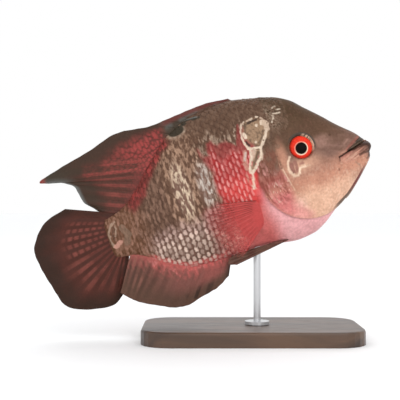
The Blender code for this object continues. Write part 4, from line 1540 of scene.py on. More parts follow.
@dataclass(frozen=True)
class SteelFinish:
    """Steel brushed round the rod."""

    colour: tuple[float, float, float, float] = (0.56, 0.56, 0.57, 1.0)
    name: str = "brushed_steel"

    def build(self) -> Material:
        """Makes the material.

        Returns:
            The material.
        """
        made = Finish(self.name, 0.3, Metallic=1.0, Base_Color=self.colour)
        lines = made.grain(made.here((60.0, 60.0, 3000.0)), 1.0)
        made.dress(Roughness=made.between(lines, 0.22, 0.42))
        made.bump(lines, 0.08, 0.00005)
        return made.material


@dataclass(frozen=True)
class Skin:
    """One skin over the head, the gill covers, the trunk and the tail stalk."""

    form: BodyForm
    relief: Relief
    markings: Markings
    head_end: float = 0.42
    nose_rows: int = 7
    nose_start: float = 0.08
    nose_bulge: float = 0.0004
    head_rows: int = 214
    trunk_rows: int = 74
    cap_rows: int = 8
    cap_length: float = 0.020
    columns: int = 320

    def stations(self) -> tuple[Array, Array]:
        """Where the rings lie, and how much of the full section each keeps past the stalk's end.

        Returns:
            The stations and the shares.
        """
        head = self.head_end * np.linspace(0, 1, self.head_rows + 1)[1:] ** 1.3
        trunk = np.linspace(self.head_end, 1, self.trunk_rows + 1)[1:]
        rounding = np.linspace(0, 1, self.cap_rows + 1)[1:]
        cap = 1 + self.cap_length * np.sin(rounding * math.pi / 2)
        keep = np.concatenate([np.ones(len(head) + len(trunk)), np.cos(rounding * math.pi / 2)])
        return np.concatenate([head, trunk, cap]), np.maximum(keep, 0.02)

    def grid(self) -> Array:
        """The points of the plain form.

        Returns:
            World positions, a ring a row.
        """
        station, keep = self.stations()
        turn = np.arange(self.columns) * 2 * math.pi / self.columns
        height, side = self.form.section(np.minimum(station, 1)[:, None], turn[None, :])
        shrink = keep[:, None]
        rings = self.form.place(station[:, None], height * (0.55 + 0.45 * shrink), side * shrink)
        middle = rings[0].mean(axis=0)
        reach = np.linspace(self.nose_start, 1, self.nose_rows + 1)[:-1, None, None]
        nose = middle + (rings[0] - middle) * reach
        nose[..., 0] += self.nose_bulge * (1 - reach[..., 0] ** 2)
        return np.concatenate([nose, rings])

    def build(self, finish: Material) -> Object:
        """Makes the skin.

        Args:
            finish: Its material.

        Returns:
            The finished piece.
        """
        plain = self.grid()
        flat, outward = plain.reshape(-1, 3), grid_normals(plain, closed=True).reshape(-1, 3)
        raised = flat + outward * self.relief.at(flat)[:, None]
        tip = raised[:self.columns].mean(axis=0)
        rear = raised[-self.columns:].mean(axis=0)
        points = np.concatenate([raised, tip[None], rear[None]])
        piece = make_piece("skin", points, capped_grid(len(plain), self.columns))
        face_outward(piece)
        along, above = self.form.millimetres(points)
        set_tint(piece.data, "ground", self.markings.all_over(along, above).ground)
        piece.data.materials.append(finish)
        return piece


def face_outward(piece: Object) -> None:
    """Turns every face over where the piece holds a minus volume.

    Args:
        piece: The closed piece.
    """
    mesh = piece.data
    mesh.calc_loop_triangles()
    corners = np.empty(len(mesh.loop_triangles) * 3, dtype=np.int32)
    mesh.loop_triangles.foreach_get("vertices", corners)
    a, b, c = point_positions(mesh)[corners.reshape(-1, 3)].transpose(1, 0, 2)
    if (a * np.cross(b, c)).sum() < 0:
        mesh.flip_normals()


class FlankMap:
    """Finds the place on the body that lies some way round one flank."""

    def __init__(self, form: BodyForm, rows: int = 201, columns: int = 361) -> None:
        """Measures round the body at every station.

        Args:
            form: The body.
            rows: Stations measured.
            columns: Turns measured at each.
        """
        self.form = form
        self.stations = np.linspace(0.01, 1.0, rows)
        turns = np.linspace(-math.pi / 2, math.pi / 2, columns)
        height, side = form.section(self.stations[:, None], turns[None, :])
        points = form.place(self.stations[:, None], height, side)
        steps = np.linalg.norm(np.diff(points, axis=1), axis=-1)
        arc = np.concatenate([np.zeros((rows, 1)), np.cumsum(steps, axis=1)], axis=1)
        arc -= arc[:, columns // 2:columns // 2 + 1]
        self.low, self.high = arc[:, 0], arc[:, -1]
        shares = np.linspace(0, 1, columns)
        evenly = self.low[:, None] + (self.high - self.low)[:, None] * shares
        self.turns = np.stack([np.interp(even, row, turns) for even, row in zip(evenly, arc)])

    def reach(self, station: Array) -> tuple[Array, Array]:
        """Metres from the widest line down to the belly's ridge, a minus number, and up to the back's."""
        return np.interp(station, self.stations, self.low), np.interp(station, self.stations, self.high)

    def turn(self, station: Array, arc: Array) -> Array:
        """The angle round the section that lies some metres up from the widest line.

        Args:
            station: Shares behind the snout.
            arc: Metres up the flank, minus downwards. Past a ridge it runs down the other flank.

        Returns:
            Angles in radians.
        """
        low, high = self.reach(station)
        over, under = arc > high, arc < low
        folded = np.where(over, 2 * high - arc, np.where(under, 2 * low - arc, arc))
        rows, columns = self.turns.shape
        first, last = self.stations[0], self.stations[-1]
        down = np.clip((station - first) / (last - first), 0, 1) * (rows - 1)
        across = np.clip((folded - low) / (high - low), 0, 1) * (columns - 1)
        i = np.minimum(down.astype(int), rows - 2)
        j = np.minimum(across.astype(int), columns - 2)
        s, t = down - i, across - j
        upper = self.turns[i, j] * (1 - t) + self.turns[i, j + 1] * t
        lower = self.turns[i + 1, j] * (1 - t) + self.turns[i + 1, j + 1] * t
        turn = upper * (1 - s) + lower * s
        return np.where(over, math.pi - turn, np.where(under, -math.pi - turn, turn))


@dataclass(frozen=True)
class ScaleForm:
    """One scale, a thin closed disc 2 units long and wide, which the coat repeats."""

    cells: int = 6
    sunk: float = -0.00025
    tip_lift: float = 0.00028
    crown: float = 0.00010
    thickness: float = 0.00018

    def build(self) -> Object:
        """Makes the scale, with its face coordinates in an attribute.

        Returns:
            The scale, which is taken away once the coats are made.
        """
        count = self.cells + 1
        u, v = np.meshgrid(np.linspace(-1, 1, count), np.linspace(-1, 1, count), indexing="ij")
        x, y = u * np.sqrt(1 - v * v / 2), v * np.sqrt(1 - u * u / 2)
        lift = self.sunk + (self.tip_lift - self.sunk) * (x + 1) / 2 + self.crown * (1 - y * y)
        top = np.stack([x, y, lift], axis=-1).reshape(-1, 3)
        rim = grid_rim(count, count)
        under = top[rim] - (0, 0, self.thickness)
        points = np.concatenate([top, under])
        below = list(range(len(top), len(points)))
        faces = grid_quads(count, count).tolist() + [below[::-1]]
        faces += [[d, c, b, a] for a, b, c, d in zip(rim, rim[1:] + rim[:1], below[1:] + below[:1], below)]
        piece = make_piece("scale_form", points, faces)
        face_outward(piece)
        store(piece.data, face=points)
        return piece


@dataclass(frozen=True)
class ScaleCoat:
    """The overlapping scales of one flank, from one station to another."""

    form: BodyForm
    plan: HeadPlan
    markings: Markings
    relief: Relief
    flank_map: FlankMap
    flank: Flank
    part: str
    span: tuple[float, float]
    first_station: float = 0.245
    last_station: float = 1.0
    column_gap: float = 0.0028
    row_gap: float = 0.0060
    rear_squeeze: float = 0.15
    rear_stretch: float = 0.25
    rear_shear: float = 0.78
    length: float = 0.0084
    width: float = 0.0068
    size_spread: float = 0.07
    turn_spread: float = 0.07
    seed: int = 7
    ridge_margin: float = 0.0006
    map_span: float = 0.2
    map_patch: float = 0.003
    refine_cuts: int = 2

    def shrink(self, station: Array) -> Array:
        """How much smaller the scales are towards the tail and the throat."""
        return (1 - 0.32 * ramp(station, 0.72, 1.0)) * (1 - 0.45 * ramp(station, 0.42, 0.28))

    def lattice(self) -> tuple[Array, Array]:
        """Places of the scales in the coat laid flat: metres along and metres round.

        Returns:
            Flat positions, and each scale's size factor.
        """
        spots, sizes = [], []
        station, shift = self.first_station, 0.0
        while station < self.last_station:
            factor = float(self.shrink(np.array(station)))
            rear = float(ramp(np.array(station), 0.57, 0.63))
            row_gap = self.row_gap * factor * (1 - self.rear_squeeze * rear)
            low, high = (float(v) for v in self.flank_map.reach(np.array(station)))
            for row in range(int(low / row_gap) - 1, int(high / row_gap) + 2):
                arc = (row + shift) * row_gap
                if low + self.ridge_margin < arc < high - self.ridge_margin:
                    spots.append((station * self.form.length, arc, 0.0))
                    sizes.append(factor)
            station += self.column_gap * factor * (1 + self.rear_stretch * rear) / self.form.length
            shift = (shift + 0.5 - self.rear_shear * rear) % 1
        flat, size = np.array(spots), np.array(sizes)
        turn = self.flank_map.turn(flat[:, 0] / self.form.length, flat[:, 1])
        height, _ = self.form.section(flat[:, 0] / self.form.length, turn)
        along, above = flat[:, 0] / MM, height * BODY_MM
        radius, angle = self.plan.round_cheek(along, above)
        high_up = angle > math.radians(55)
        trunk = np.where(high_up, along > self.plan.nape - 2.0, radius > self.plan.cheek_radius + 2.6)
        nape = (along > 47) & (above > 27 + 0.5 * (62 - along)) & (radius > self.plan.cheek_radius - 8)
        cover = (radius < self.plan.cheek_radius - 5.5) & (along > 62) & (above > 6)
        throat = (along < 96) & (above < -12) | (along < 84) & (above < -6)
        shoulder = (angle > 0.3) & (along > 65.5) & (above > 6)
        keep = (trunk | nape | cover | shoulder) & ~throat
        keep &= (along >= self.span[0] * BODY_MM) & (along < self.span[1] * BODY_MM)
        return flat[keep], size[keep]

    def tree(self, finish: Material) -> NodeTree:
        """The Geometry Nodes that set one scale on every place of the flat coat.

        Args:
            finish: The scales' material.

        Returns:
            The node tree.
        """
        made = GeometryMaker("scale_coat", {
            "Places": "Geometry", "Scale": "Object", "Length": "Float", "Width": "Float",
            "Size spread": "Float", "Turn spread": "Float", "Seed": "Int",
        })
        given = made.inputs

        def centred(label: str, offset: int) -> NodeSocket:
            """A random number about 0.

            Args:
                label: The input that scales it.
                offset: What is added to the seed.

            Returns:
                The number's socket.
            """
            seed = made.maths("ADD", given["Seed"], offset)
            draw = made.node("FunctionNodeRandomValue", data_type="FLOAT")
            for key, value in ((2, -1.0), (3, 1.0), ("Seed", seed)):
                made.feed(draw.inputs[key], value)
            return made.times(draw.outputs[1], given[label])

        factor = made.times(made.maths("ADD", centred("Size spread", 0), 1.0), made.named("size"))
        size = made.node("ShaderNodeCombineXYZ", {
            0: made.times(factor, given["Length"]), 1: made.times(factor, given["Width"]), 2: factor})
        lie = made.node("ShaderNodeCombineXYZ", {"Z": centred("Turn spread", 1)})
        scale = made.node("GeometryNodeObjectInfo", {"Object": given["Scale"]})
        set_down = made.node("GeometryNodeInstanceOnPoints", {
            "Points": given["Places"], "Instance": scale.outputs["Geometry"],
            "Rotation": lie.outputs[0], "Scale": size.outputs[0],
        })
        return made.end(set_down.outputs["Instances"], finish)

    def build(self, scale: Object, finish: Material) -> Object:
        """Makes the flank's scales, laid out flat and then wrapped onto the body.

        Args:
            scale: The scale that is repeated.
            finish: The scales' material.

        Returns:
            The finished piece.
        """
        spots, sizes = self.lattice()
        places = make_piece(f"scale_places_{self.flank.word}", spots, [])
        store(places.data, size=sizes, chance=noise(spots[:, 0] * 900, spots[:, 1] * 900, 17), root=spots)
        mesh = grow_mesh(places, self.tree(finish), {
            "Scale": scale, "Length": self.length / 2, "Width": self.width / 2, "Seed": self.seed,
            "Size spread": self.size_spread, "Turn spread": self.turn_spread,
        })
        piece = add_object(f"scales_{self.part}_{self.flank.word}", mesh)
        self.refine(mesh)
        self.wrap(piece)
        return piece

    def refine(self, mesh: Mesh) -> None:
        """Splits the faces of the scales that carry the keyhole, the black spot and the eye-spot.

        Args:
            mesh: The flat coat.
        """
        root = fetch(mesh, "root")
        station = root[:, 0] / self.form.length
        height, _ = self.form.section(station, self.flank_map.turn(station, root[:, 1]))
        along, above = station * BODY_MM, height * BODY_MM
        marked = (np.hypot((along - 71) / 17, (above - 30) / 24) < 1)
        marked |= np.hypot((along - 114) / 16, (above - 58) / 7) < 1
        marked |= (along > 168) & (np.abs(above) < 14)
        shape = bmesh.new()
        shape.from_mesh(mesh)
        shape.verts.ensure_lookup_table()
        edges = [e for e in shape.edges if marked[e.verts[0].index] and marked[e.verts[1].index]]
        bmesh.ops.subdivide_edges(shape, edges=edges, cuts=self.refine_cuts, use_grid_fill=True)
        shape.to_mesh(mesh)
        shape.free()

    def wrap(self, piece: Object) -> None:
        """Bends the flat coat round the body and colours it.

        Args:
            piece: The flat coat.
        """
        mesh = piece.data
        flat = point_positions(mesh)
        station = flat[:, 0] / self.form.length
        turn = self.flank_map.turn(station, flat[:, 1])
        points, outward = self.form.surface(np.minimum(station, 1.0), turn)
        points = points + outward * (flat[:, 2] + self.relief.at(points))[:, None]
        past = np.maximum(station - 1.0, 0.0) * self.form.length
        points[:, 0] -= past * math.cos(self.form.pitch)
        points[:, 2] -= past * math.sin(self.form.pitch)
        points[:, 1] *= self.flank.value
        mesh.vertices.foreach_set("co", points.ravel())
        mesh.update()
        face_outward(piece)
        mesh.shade_smooth()
        root, face, chance = (fetch(mesh, name) for name in ("root", "face", "chance"))
        along, above = self.form.millimetres(points)
        paint = self.markings.all_over(along, above)
        set_tint(mesh, "ground", paint.ground)
        set_tint(mesh, "fleck", paint.fleck)
        habit = np.stack([paint.strength, paint.breadth / 2, chance], axis=-1)
        set_tint(mesh, "habit", habit, paint.streak)
        centre = root[:, :2] / self.map_span + (0.03, 0.5)
        set_uv(mesh, "OFBake", centre + face[:, :2] * self.map_patch / 2)
        set_uv(mesh, "ScaleFace", face[:, :2])
        for name in ("root", "face", "chance", "size"):
            if name in mesh.attributes:
                mesh.attributes.remove(mesh.attributes[name])


@dataclass(frozen=True)
class FinForm:
    """A rayed fin with even rays, shaped by spokes: a root's station and height, then a tip's."""

    form: BodyForm
    name: str
    spokes: tuple[Spoke, ...]
    sway: Sway
    rays: int = 24
    root_half: float = 0.0020
    root_length: float = 0.14
    web_half: float = 0.00016
    ray_root: float = 0.00040
    ray_tip: float = 0.00012
    pleat: float = 0.00022
    notch: float = 0.004
    spines: float = 0.0
    rows: int = 44
    columns_per_ray: int = 6
    tube_sides: int = 6
    line_points: int = 36
    fold_step: float = 0.02

    def spoke(self, ray: Array) -> list[Array]:
        """Root station, root height, tip station and tip height at positions counted in rays."""
        place = ray * (len(self.spokes) - 1) / self.rays
        return [smooth_curve(list(enumerate(column)), place) for column in zip(*self.spokes)]

    def sheet(self, ray: Array, out: Array) -> Array:
        """World points on the fin's middle sheet.

        Args:
            ray: Position across the fin, counted in rays.
            out: Position from 0 at the root to 1 at the margin.

        Returns:
            Positions in metres.
        """
        root_station, root_height, tip_station, tip_height = self.spoke(ray)
        station = root_station + (tip_station - root_station) * out
        height = root_height + (tip_height - root_height) * out
        return self.form.place(station, height, self.sway(ray / self.rays, out, root_station, root_height))

    def margin(self, ray: Array) -> Array:
        """How far out the web reaches between rays."""
        spiny = ramp(ray / self.rays, self.spines + 0.02, self.spines - 0.02) if self.spines else 0.0
        return 1 - self.notch * (1 + 3.0 * spiny) * np.sin(math.pi * ray) ** 2

    def folded(self, ray: Array, out: Array) -> Array:
        """Points on the sheet pleated from ray to ray.

        Args:
            ray: Position across the fin, counted in rays.
            out: Position from 0 at the root to 1 at the margin.

        Returns:
            Positions in metres.
        """
        points, step = self.sheet(ray, out), self.fold_step
        across = self.sheet(ray + step, out) - self.sheet(ray - step, out)
        ahead = self.sheet(ray, out + step) - self.sheet(ray, np.maximum(out - step, 0.0))
        normal = unit(np.cross(ahead, across))
        fold = self.pleat * np.cos(math.pi * ray) * ramp(out, 0.05, 0.5)
        return points + normal * fold[..., None]

    def web(self) -> Object:
        """Makes the web, a thin closed sheet with a fleshy root.

        Returns:
            The web as an object of its own.
        """
        columns = self.rays * self.columns_per_ray + 1
        ray, level = np.meshgrid(np.linspace(0, self.rays, columns), np.linspace(0, 1, self.rows))
        out = level * self.margin(ray)
        middle = self.folded(ray, out)
        normal = grid_normals(middle)
        share = ray / self.rays
        flare = np.maximum(0.0, 1 - out / self.root_length) ** 1.5 * (1 - (2 * share - 1) ** 4)
        half = self.web_half * (1 - 0.5 * out) + (self.root_half - self.web_half) * flare
        shells = [middle + normal * half[..., None], middle - normal * half[..., None]]
        points = np.concatenate([shell.reshape(-1, 3) for shell in shells])
        quads, under = grid_quads(self.rows, columns), self.rows * columns
        rim = grid_rim(self.rows, columns)
        faces = quads.tolist() + (quads[:, ::-1] + under).tolist()
        faces += [[b, a, a + under, b + under] for a, b in zip(rim, rim[1:] + rim[:1])]
        piece = make_piece(f"{self.name}_web", points, faces)
        face_outward(piece)
        places = np.stack([share, out, np.zeros_like(out)], axis=-1).reshape(-1, 3)
        store(piece.data, fin_place=np.concatenate([places, places]))
        return piece

    def branches(self) -> list[tuple[float, float, float, float, float, float]]:
        """The pieces of one soft ray.

        Returns:
            For each piece: from out, to out, spread at each end, and thickness at each end.
        """
        split, second = 0.40, 0.70
        one, two = 0.15, 0.27
        found = [(0.0, split + 0.02, 0.0, 0.0, 1.0, 0.72)]
        for side in (-1, 1):
            found.append((split, second + 0.02, 0.0, side * one, 0.62, 0.50))
            for end in (-0.10, 0.10):
                found.append((second, 1.0, side * one, side * two + end, 0.45, 0.30))
        return found

    def ray_lines(self) -> Object:
        """Makes the rays' middle lines, with the thickness wanted at each point.

        Returns:
            The lines as an object of their own.
        """
        points, edges, thickness, places = [], [], [], []
        for number in range(self.rays + 1):
            spiny = number / self.rays < self.spines
            runs = [(0.0, 1.01, 0.0, 0.0, 1.5, 0.35)] if spiny else self.branches()
            for start, end, spread_a, spread_b, thick_a, thick_b in runs:
                share = np.linspace(0, 1, max(int((end - start) * self.line_points), 8))
                out = start + (end - start) * share
                spread = spread_a + (spread_b - spread_a) * share
                ray = np.clip(number + spread, 0, self.rays)
                line = self.folded(ray, out * np.where(spiny, 1.0, self.margin(ray)))
                first = len(points)
                points += line.tolist()
                edges += [(first + k, first + k + 1) for k in range(len(line) - 1)]
                lean = thick_a + (thick_b - thick_a) * share
                thickness += (lean * (self.ray_root + (self.ray_tip - self.ray_root) * out * 0.4)).tolist()
                places += np.stack([ray / self.rays, out, np.ones_like(out)], axis=-1).tolist()
        mesh = bpy.data.meshes.new(f"{self.name}_rays")
        mesh.from_pydata(points, edges, [])
        store(mesh, thickness=thickness, fin_place=places)
        return add_object(f"{self.name}_rays", mesh)

    def tree(self, finish: Material) -> NodeTree:
        """The Geometry Nodes that turn the rays' lines into tapering tubes and join them to the web.

        Args:
            finish: The fin's material.

        Returns:
            The node tree.
        """
        made = GeometryMaker(f"{self.name}_rays", {
            "Lines": "Geometry", "Web": "Object", "Sides": "Int", "Swell": "Float"})
        given = made.inputs
        line = made.node("GeometryNodeMeshToCurve", {"Mesh": given["Lines"]})
        ring = made.node("GeometryNodeCurvePrimitiveCircle", {"Radius": 1.0, "Resolution": given["Sides"]})
        tube = made.node("GeometryNodeCurveToMesh", {
            "Fill Caps": True, "Curve": line.outputs["Curve"], "Profile Curve": ring.outputs["Curve"],
            "Scale": made.times(made.named("thickness"), given["Swell"]),
        })
        web = made.node("GeometryNodeObjectInfo", {"Object": given["Web"]})
        both = made.node("GeometryNodeJoinGeometry", {0: tube.outputs["Mesh"]})
        made.feed(both.inputs[0], web.outputs["Geometry"])
        return made.end(both.outputs[0], finish)

    def build(self, finish: Material) -> Object:
        """Makes the fin.

        Args:
            finish: Its material.

        Returns:
            The finished piece.
        """
        web, lines = self.web(), self.ray_lines()
        mesh = grow_mesh(lines, self.tree(finish), {"Web": web, "Sides": self.tube_sides, "Swell": 1.0})
        bpy.data.objects.remove(web)
        mesh.shade_smooth()
        piece = add_object(f"{self.name}_rayed", mesh)
        place = fetch(mesh, "fin_place")
        along, above = self.form.millimetres(point_positions(mesh))
        sheet = FinPainter().paint(self.name, self.rays, place, along, above)
        set_tint(mesh, "ground", sheet.colour, sheet.alpha)
        set_uv(mesh, "FinPlace", place[:, :2])
        for name in ("fin_place", "thickness"):
            if name in mesh.attributes:
                mesh.attributes.remove(mesh.attributes[name])
        return piece


class FinCanvas(Canvas):
    """Colours being laid over a fin."""

    def __init__(self, rays: int, place: Array, along: Array, above: Array, base: Tone) -> None:
        """Starts from one colour everywhere.

        Args:
            rays: How many gaps there are between the fin's rays.
            place: Across from 0 to 1, out from 0 to 1, and 1 on rays.
            along: Millimetres behind the snout.
            above: Millimetres over the body axis.
            base: The first colour.
        """
        super().__init__(along, above, base)
        self.rays = rays
        self.across, self.out, self.ray = place.T
        self.alpha = np.ones(len(along))

    def ribs(self, density: float = 1) -> Array:
        """Is 1 along every ray and 0 midway between two, with a density of 1."""
        return np.cos(math.pi * self.across * self.rays * density) ** 2

    def dashes(self, count: float, seed: int, duty: float, density: float = 1) -> Array:
        """Short strokes that follow the rays.

        Args:
            count: Strokes from root to margin.
            seed: Their random start on each ray.
            duty: The share of each stroke that is filled.
            density: Rows of strokes for each ray.

        Returns:
            A mask.
        """
        number = np.round(self.across * self.rays * density)
        start = noise(number * 3.7, 0 * number, seed) + 0.12 * noise(number, self.out * 14, seed + 1)
        beat = np.abs(((self.out * count + start) % 1.0) - 0.5) * 2
        chance = noise(number * 3.1, np.floor(self.out * count + start) * 1.7, seed + 2)
        filled = ramp(beat, duty + 0.3, duty - 0.2) * ramp(self.ribs(density), 0.25, 0.75)
        return (0.4 + 0.8 * chance) * filled


class FinPainter:
    """Colours of the fins."""

    def paint(self, name: str, rays: int, place: Array, along: Array, above: Array) -> FinCanvas:
        """Colours one fin.

        Args:
            name: The fin's name.
            rays: How many gaps there are between its rays.
            place: Across, out and 1 on rays, for each point.
            along: Millimetres behind the snout.
            above: Millimetres over the body axis.

        Returns:
            The coloured sheet.
        """
        looks = {
            "dorsal": (Tone.FIN_MAROON, self._dorsal), "tail": (Tone.FIN_MAROON, self._tail),
            "anal": (Tone.ANAL_MAUVE, self._anal), "pectoral": (Tone.PECTORAL_RED, self._pectoral),
            "pelvic": (Tone.PELVIC_BROWN, self._pelvic),
        }
        base, colour = looks[name.split("_")[0]]
        sheet = FinCanvas(rays, place, along, above, base)
        colour(sheet, sheet.grain(5, 5, 41))
        return sheet

    def _dorsal(self, sheet: FinCanvas, blotch: Array) -> None:
        """Olive spines under a dark red rim, red dashes over the soft rays, a dusky margin and point.

        Args:
            sheet: The fin's canvas.
            blotch: A slow random field over it.
        """
        lay, along, across, out = sheet.lay, sheet.along, sheet.across, sheet.out
        soft = ramp(along, 126, 133)
        rear = ramp(across, 0.60, 0.68)
        reach = ramp(out + 0.3 * (blotch - 0.5), 0.80, 0.30)
        lay(soft * ramp(out, 0.95, 0.4), Tone.BASE_RED, 0.75)
        cells = cobbles(across * sheet.rays * 0.9, along / 2.5, 51)
        lay(soft * (1 - 0.75 * rear) * cells * reach, Tone.BASE_SPARK, 0.85)
        pale = ramp(sheet.ribs(0.5), 0.45, 0.9) * ramp(across, 0.48, 0.56)
        grain = 0.4 + 0.6 * noise(along / 3.5, across * sheet.rays, 52)
        lay(soft * pale * grain * window(out, 0.12, 0.52, 0.16), Tone.FIN_ROSE, 0.65)
        between = (1 - pale) * ramp(across, 0.46, 0.58) * window(out, 0.1, 0.9, 0.1)
        lay(soft * between, Tone.FIN_BROWN, 0.6)
        lay(soft * ramp(out + 0.2 * blotch, 0.45, 0.95), Tone.FIN_BROWN, 0.8)
        spiny = 1 - soft
        lay(spiny, Tone.BACK_BROWN, 0.9)
        lay(spiny * ramp(along, 106, 114), Tone.OLIVE_BLACK, 0.85)
        lay(spiny * ramp(blotch, 0.5, 0.75) * ramp(out, 0.2, 0.5), Tone.SLATE, 0.4)
        lay(spiny * ramp(out, 0.45, 0.75), Tone.BASE_RED, 0.85)
        point = ramp(along, 196, 214)
        lay(point, Tone.OLIVE_BLACK, 0.85)
        lay(ramp(out, 0.90, 0.985) * ramp(across, 0.66, 0.72), Tone.SLATE, 0.85)
        lay(ramp(across, 0.60, 0.66) * point * ramp(across, 0.74, 0.68), Tone.SLATE, 0.7)
        lay(ramp(along, 217, 221), Tone.FIN_RED)

    def _tail(self, sheet: FinCanvas, blotch: Array) -> None:
        """Maroon, with rows of red dots above, long red strokes below and an olive margin.

        Args:
            sheet: The fin's canvas.
            blotch: A slow random field over it.
        """
        lay, across, out = sheet.lay, sheet.across, sheet.out
        ribs = sheet.ribs()
        upper, lower = ramp(across, 0.52, 0.44), ramp(across, 0.44, 0.52)
        reach = window(out, 0.14, 0.62, 0.1)
        dots = sheet.dashes(12, 61, 0.6) * reach * window(across, 0.14, 0.9, 0.04)
        lay(upper * dots, Tone.FIN_ROSE, 0.75)
        mottle = 0.35 + 0.65 * ramp(noise(across * sheet.rays * 0.7, out * 9, 64), 0.3, 0.7)
        long = ramp(ribs, 0.25, 0.75) * mottle * window(out, 0.06, 0.66, 0.2)
        broken = sheet.dashes(5, 66, 0.9)
        lay(lower * long * (0.35 + 0.65 * broken), Tone.FIN_ROSE, 0.7)
        lay((1 - ribs) * window(out, 0.05, 0.6, 0.1), Tone.FIN_EDGE, 0.25)
        lay(ramp(out + 0.1 * blotch, 0.66, 1.0), Tone.FIN_EDGE, 0.9)
        lay(ramp(across, 0.10, 0.02), Tone.FIN_EDGE, 0.4)
        lay(ramp(across, 0.84, 0.98), Tone.FIN_EDGE, 0.6)

    def _anal(self, sheet: FinCanvas, blotch: Array) -> None:
        """Ragged bright pink at the root, mauve further out, then olive, with dark streaks in front.

        Args:
            sheet: The fin's canvas.
            blotch: A slow random field over it.
        """
        lay, across, out = sheet.lay, sheet.across, sheet.out
        ribs = sheet.ribs()
        ragged = 0.24 * (sheet.grain(1.5, 2.5, 43) - 0.5)
        flecks = cobbles(sheet.along / 1.8, sheet.above / 3.4, 67)
        lay(ramp(out + ragged, 0.42, 0.16), Tone.ANAL_ROSE, 0.4)
        root = ramp(out + ragged, 0.24, 0.12) * window(across, 0.06, 0.8, 0.1)
        lay(root * (0.5 + 0.5 * flecks), Tone.ANAL_ROSE, 0.95)
        lay(root * flecks * ramp(blotch, 0.45, 0.7), Tone.FLANK_PINK, 0.35)
        rear = ramp(across, 0.55, 0.75)
        strokes = ramp(ribs, 0.3, 0.8) * window(out, 0.05, 0.8, 0.15)
        patchy = ramp(noise(across * sheet.rays * 0.6, out * 5, 68), 0.25, 0.75)
        lay(rear * ramp(out + ragged, 0.1, 0.5), Tone.ANAL_OLIVE, 0.6)
        lay(rear * strokes * (0.2 + 0.8 * patchy), Tone.ANAL_STROKE, 0.9)
        lay((1 - ribs) * rear * window(out, 0.1, 0.9, 0.1), Tone.FIN_EDGE, 0.45)
        lay(ramp(out, 0.45, 0.86) * (1 - 0.25 * rear), Tone.ANAL_OLIVE, 0.85)
        front = window(across, 0.16, 0.5, 0.08) * ramp(out + 0.5 * ragged, 0.5, 0.8)
        lay(front * ramp(sheet.ribs(0.5), 0.6, 0.15) * ramp(blotch, 0.2, 0.5), Tone.FIN_EDGE, 0.8)
        lay(window(across, 0.08, 0.3, 0.1) * window(out, 0.2, 0.6, 0.15), Tone.ANAL_ROSE, 0.25)
        lay(ramp(across, 0.06, 0.0) * ramp(out, 0.2, 0.5), Tone.FIN_EDGE, 0.8)

    def _pectoral(self, sheet: FinCanvas, blotch: Array) -> None:
        """A clear red web between darker rays, fading to nothing at its margin.

        Args:
            sheet: The fin's canvas.
            blotch: A slow random field over it.
        """
        lay, across, out, ray = sheet.lay, sheet.across, sheet.out, sheet.ray
        upper = ramp(across, 0.5, 0.25)
        lay(upper * ray, Tone.PECTORAL_DARK, 0.9)
        dotted = 0.25 + 0.75 * noise(across * sheet.rays, out * 40, 72)
        lay(ray * (1 - upper) * ramp(out, 0.05, 0.4) * dotted, Tone.PECTORAL_DARK, 0.7)
        spark = sheet.dashes(22, 71, 0.35, 2) * window(across, 0.45, 0.85, 0.1)
        spark *= window(out, 0.5, 0.85, 0.06) * ramp(blotch, 0.35, 0.6)
        lay(spark, Tone.CREAM, 0.8)
        veil = 0.75 * ramp(out, 0.95, 0.25)
        sheet.alpha = np.where(ray > 0.5, 0.8 * ramp(out, 1.02, 0.5), veil + 0.6 * spark)

    def _pelvic(self, sheet: FinCanvas, blotch: Array) -> None:
        """Dark brown with a rosy root."""
        sheet.lay(ramp(sheet.out, 0.35, 0.1), Tone.ANAL_MAUVE, 0.8)
        sheet.lay(sheet.ribs() * ramp(blotch, 0.3, 0.7), Tone.FIN_EDGE, 0.7)
        sheet.lay(ramp(blotch, 0.55, 0.8) * (1 - sheet.ribs()), Tone.FIN_RED, 0.3)


def rooted(ridge: Knots, sink: float, tips: Sequence[tuple[float, float, float]]) -> tuple[Spoke, ...]:
    """Spokes whose roots lie just inside the back or the belly.

    Args:
        ridge: The back's or the belly's profile.
        sink: How far below the ridge the roots lie, in shares, minus for above it.
        tips: Each spoke's root station, tip station and tip height.

    Returns:
        The spokes.
    """
    heights = smooth_curve(ridge, np.array([tip[0] for tip in tips]), rooted=True) - sink
    return tuple((tip[0], height, *tip[1:]) for tip, height in zip(tips, heights))


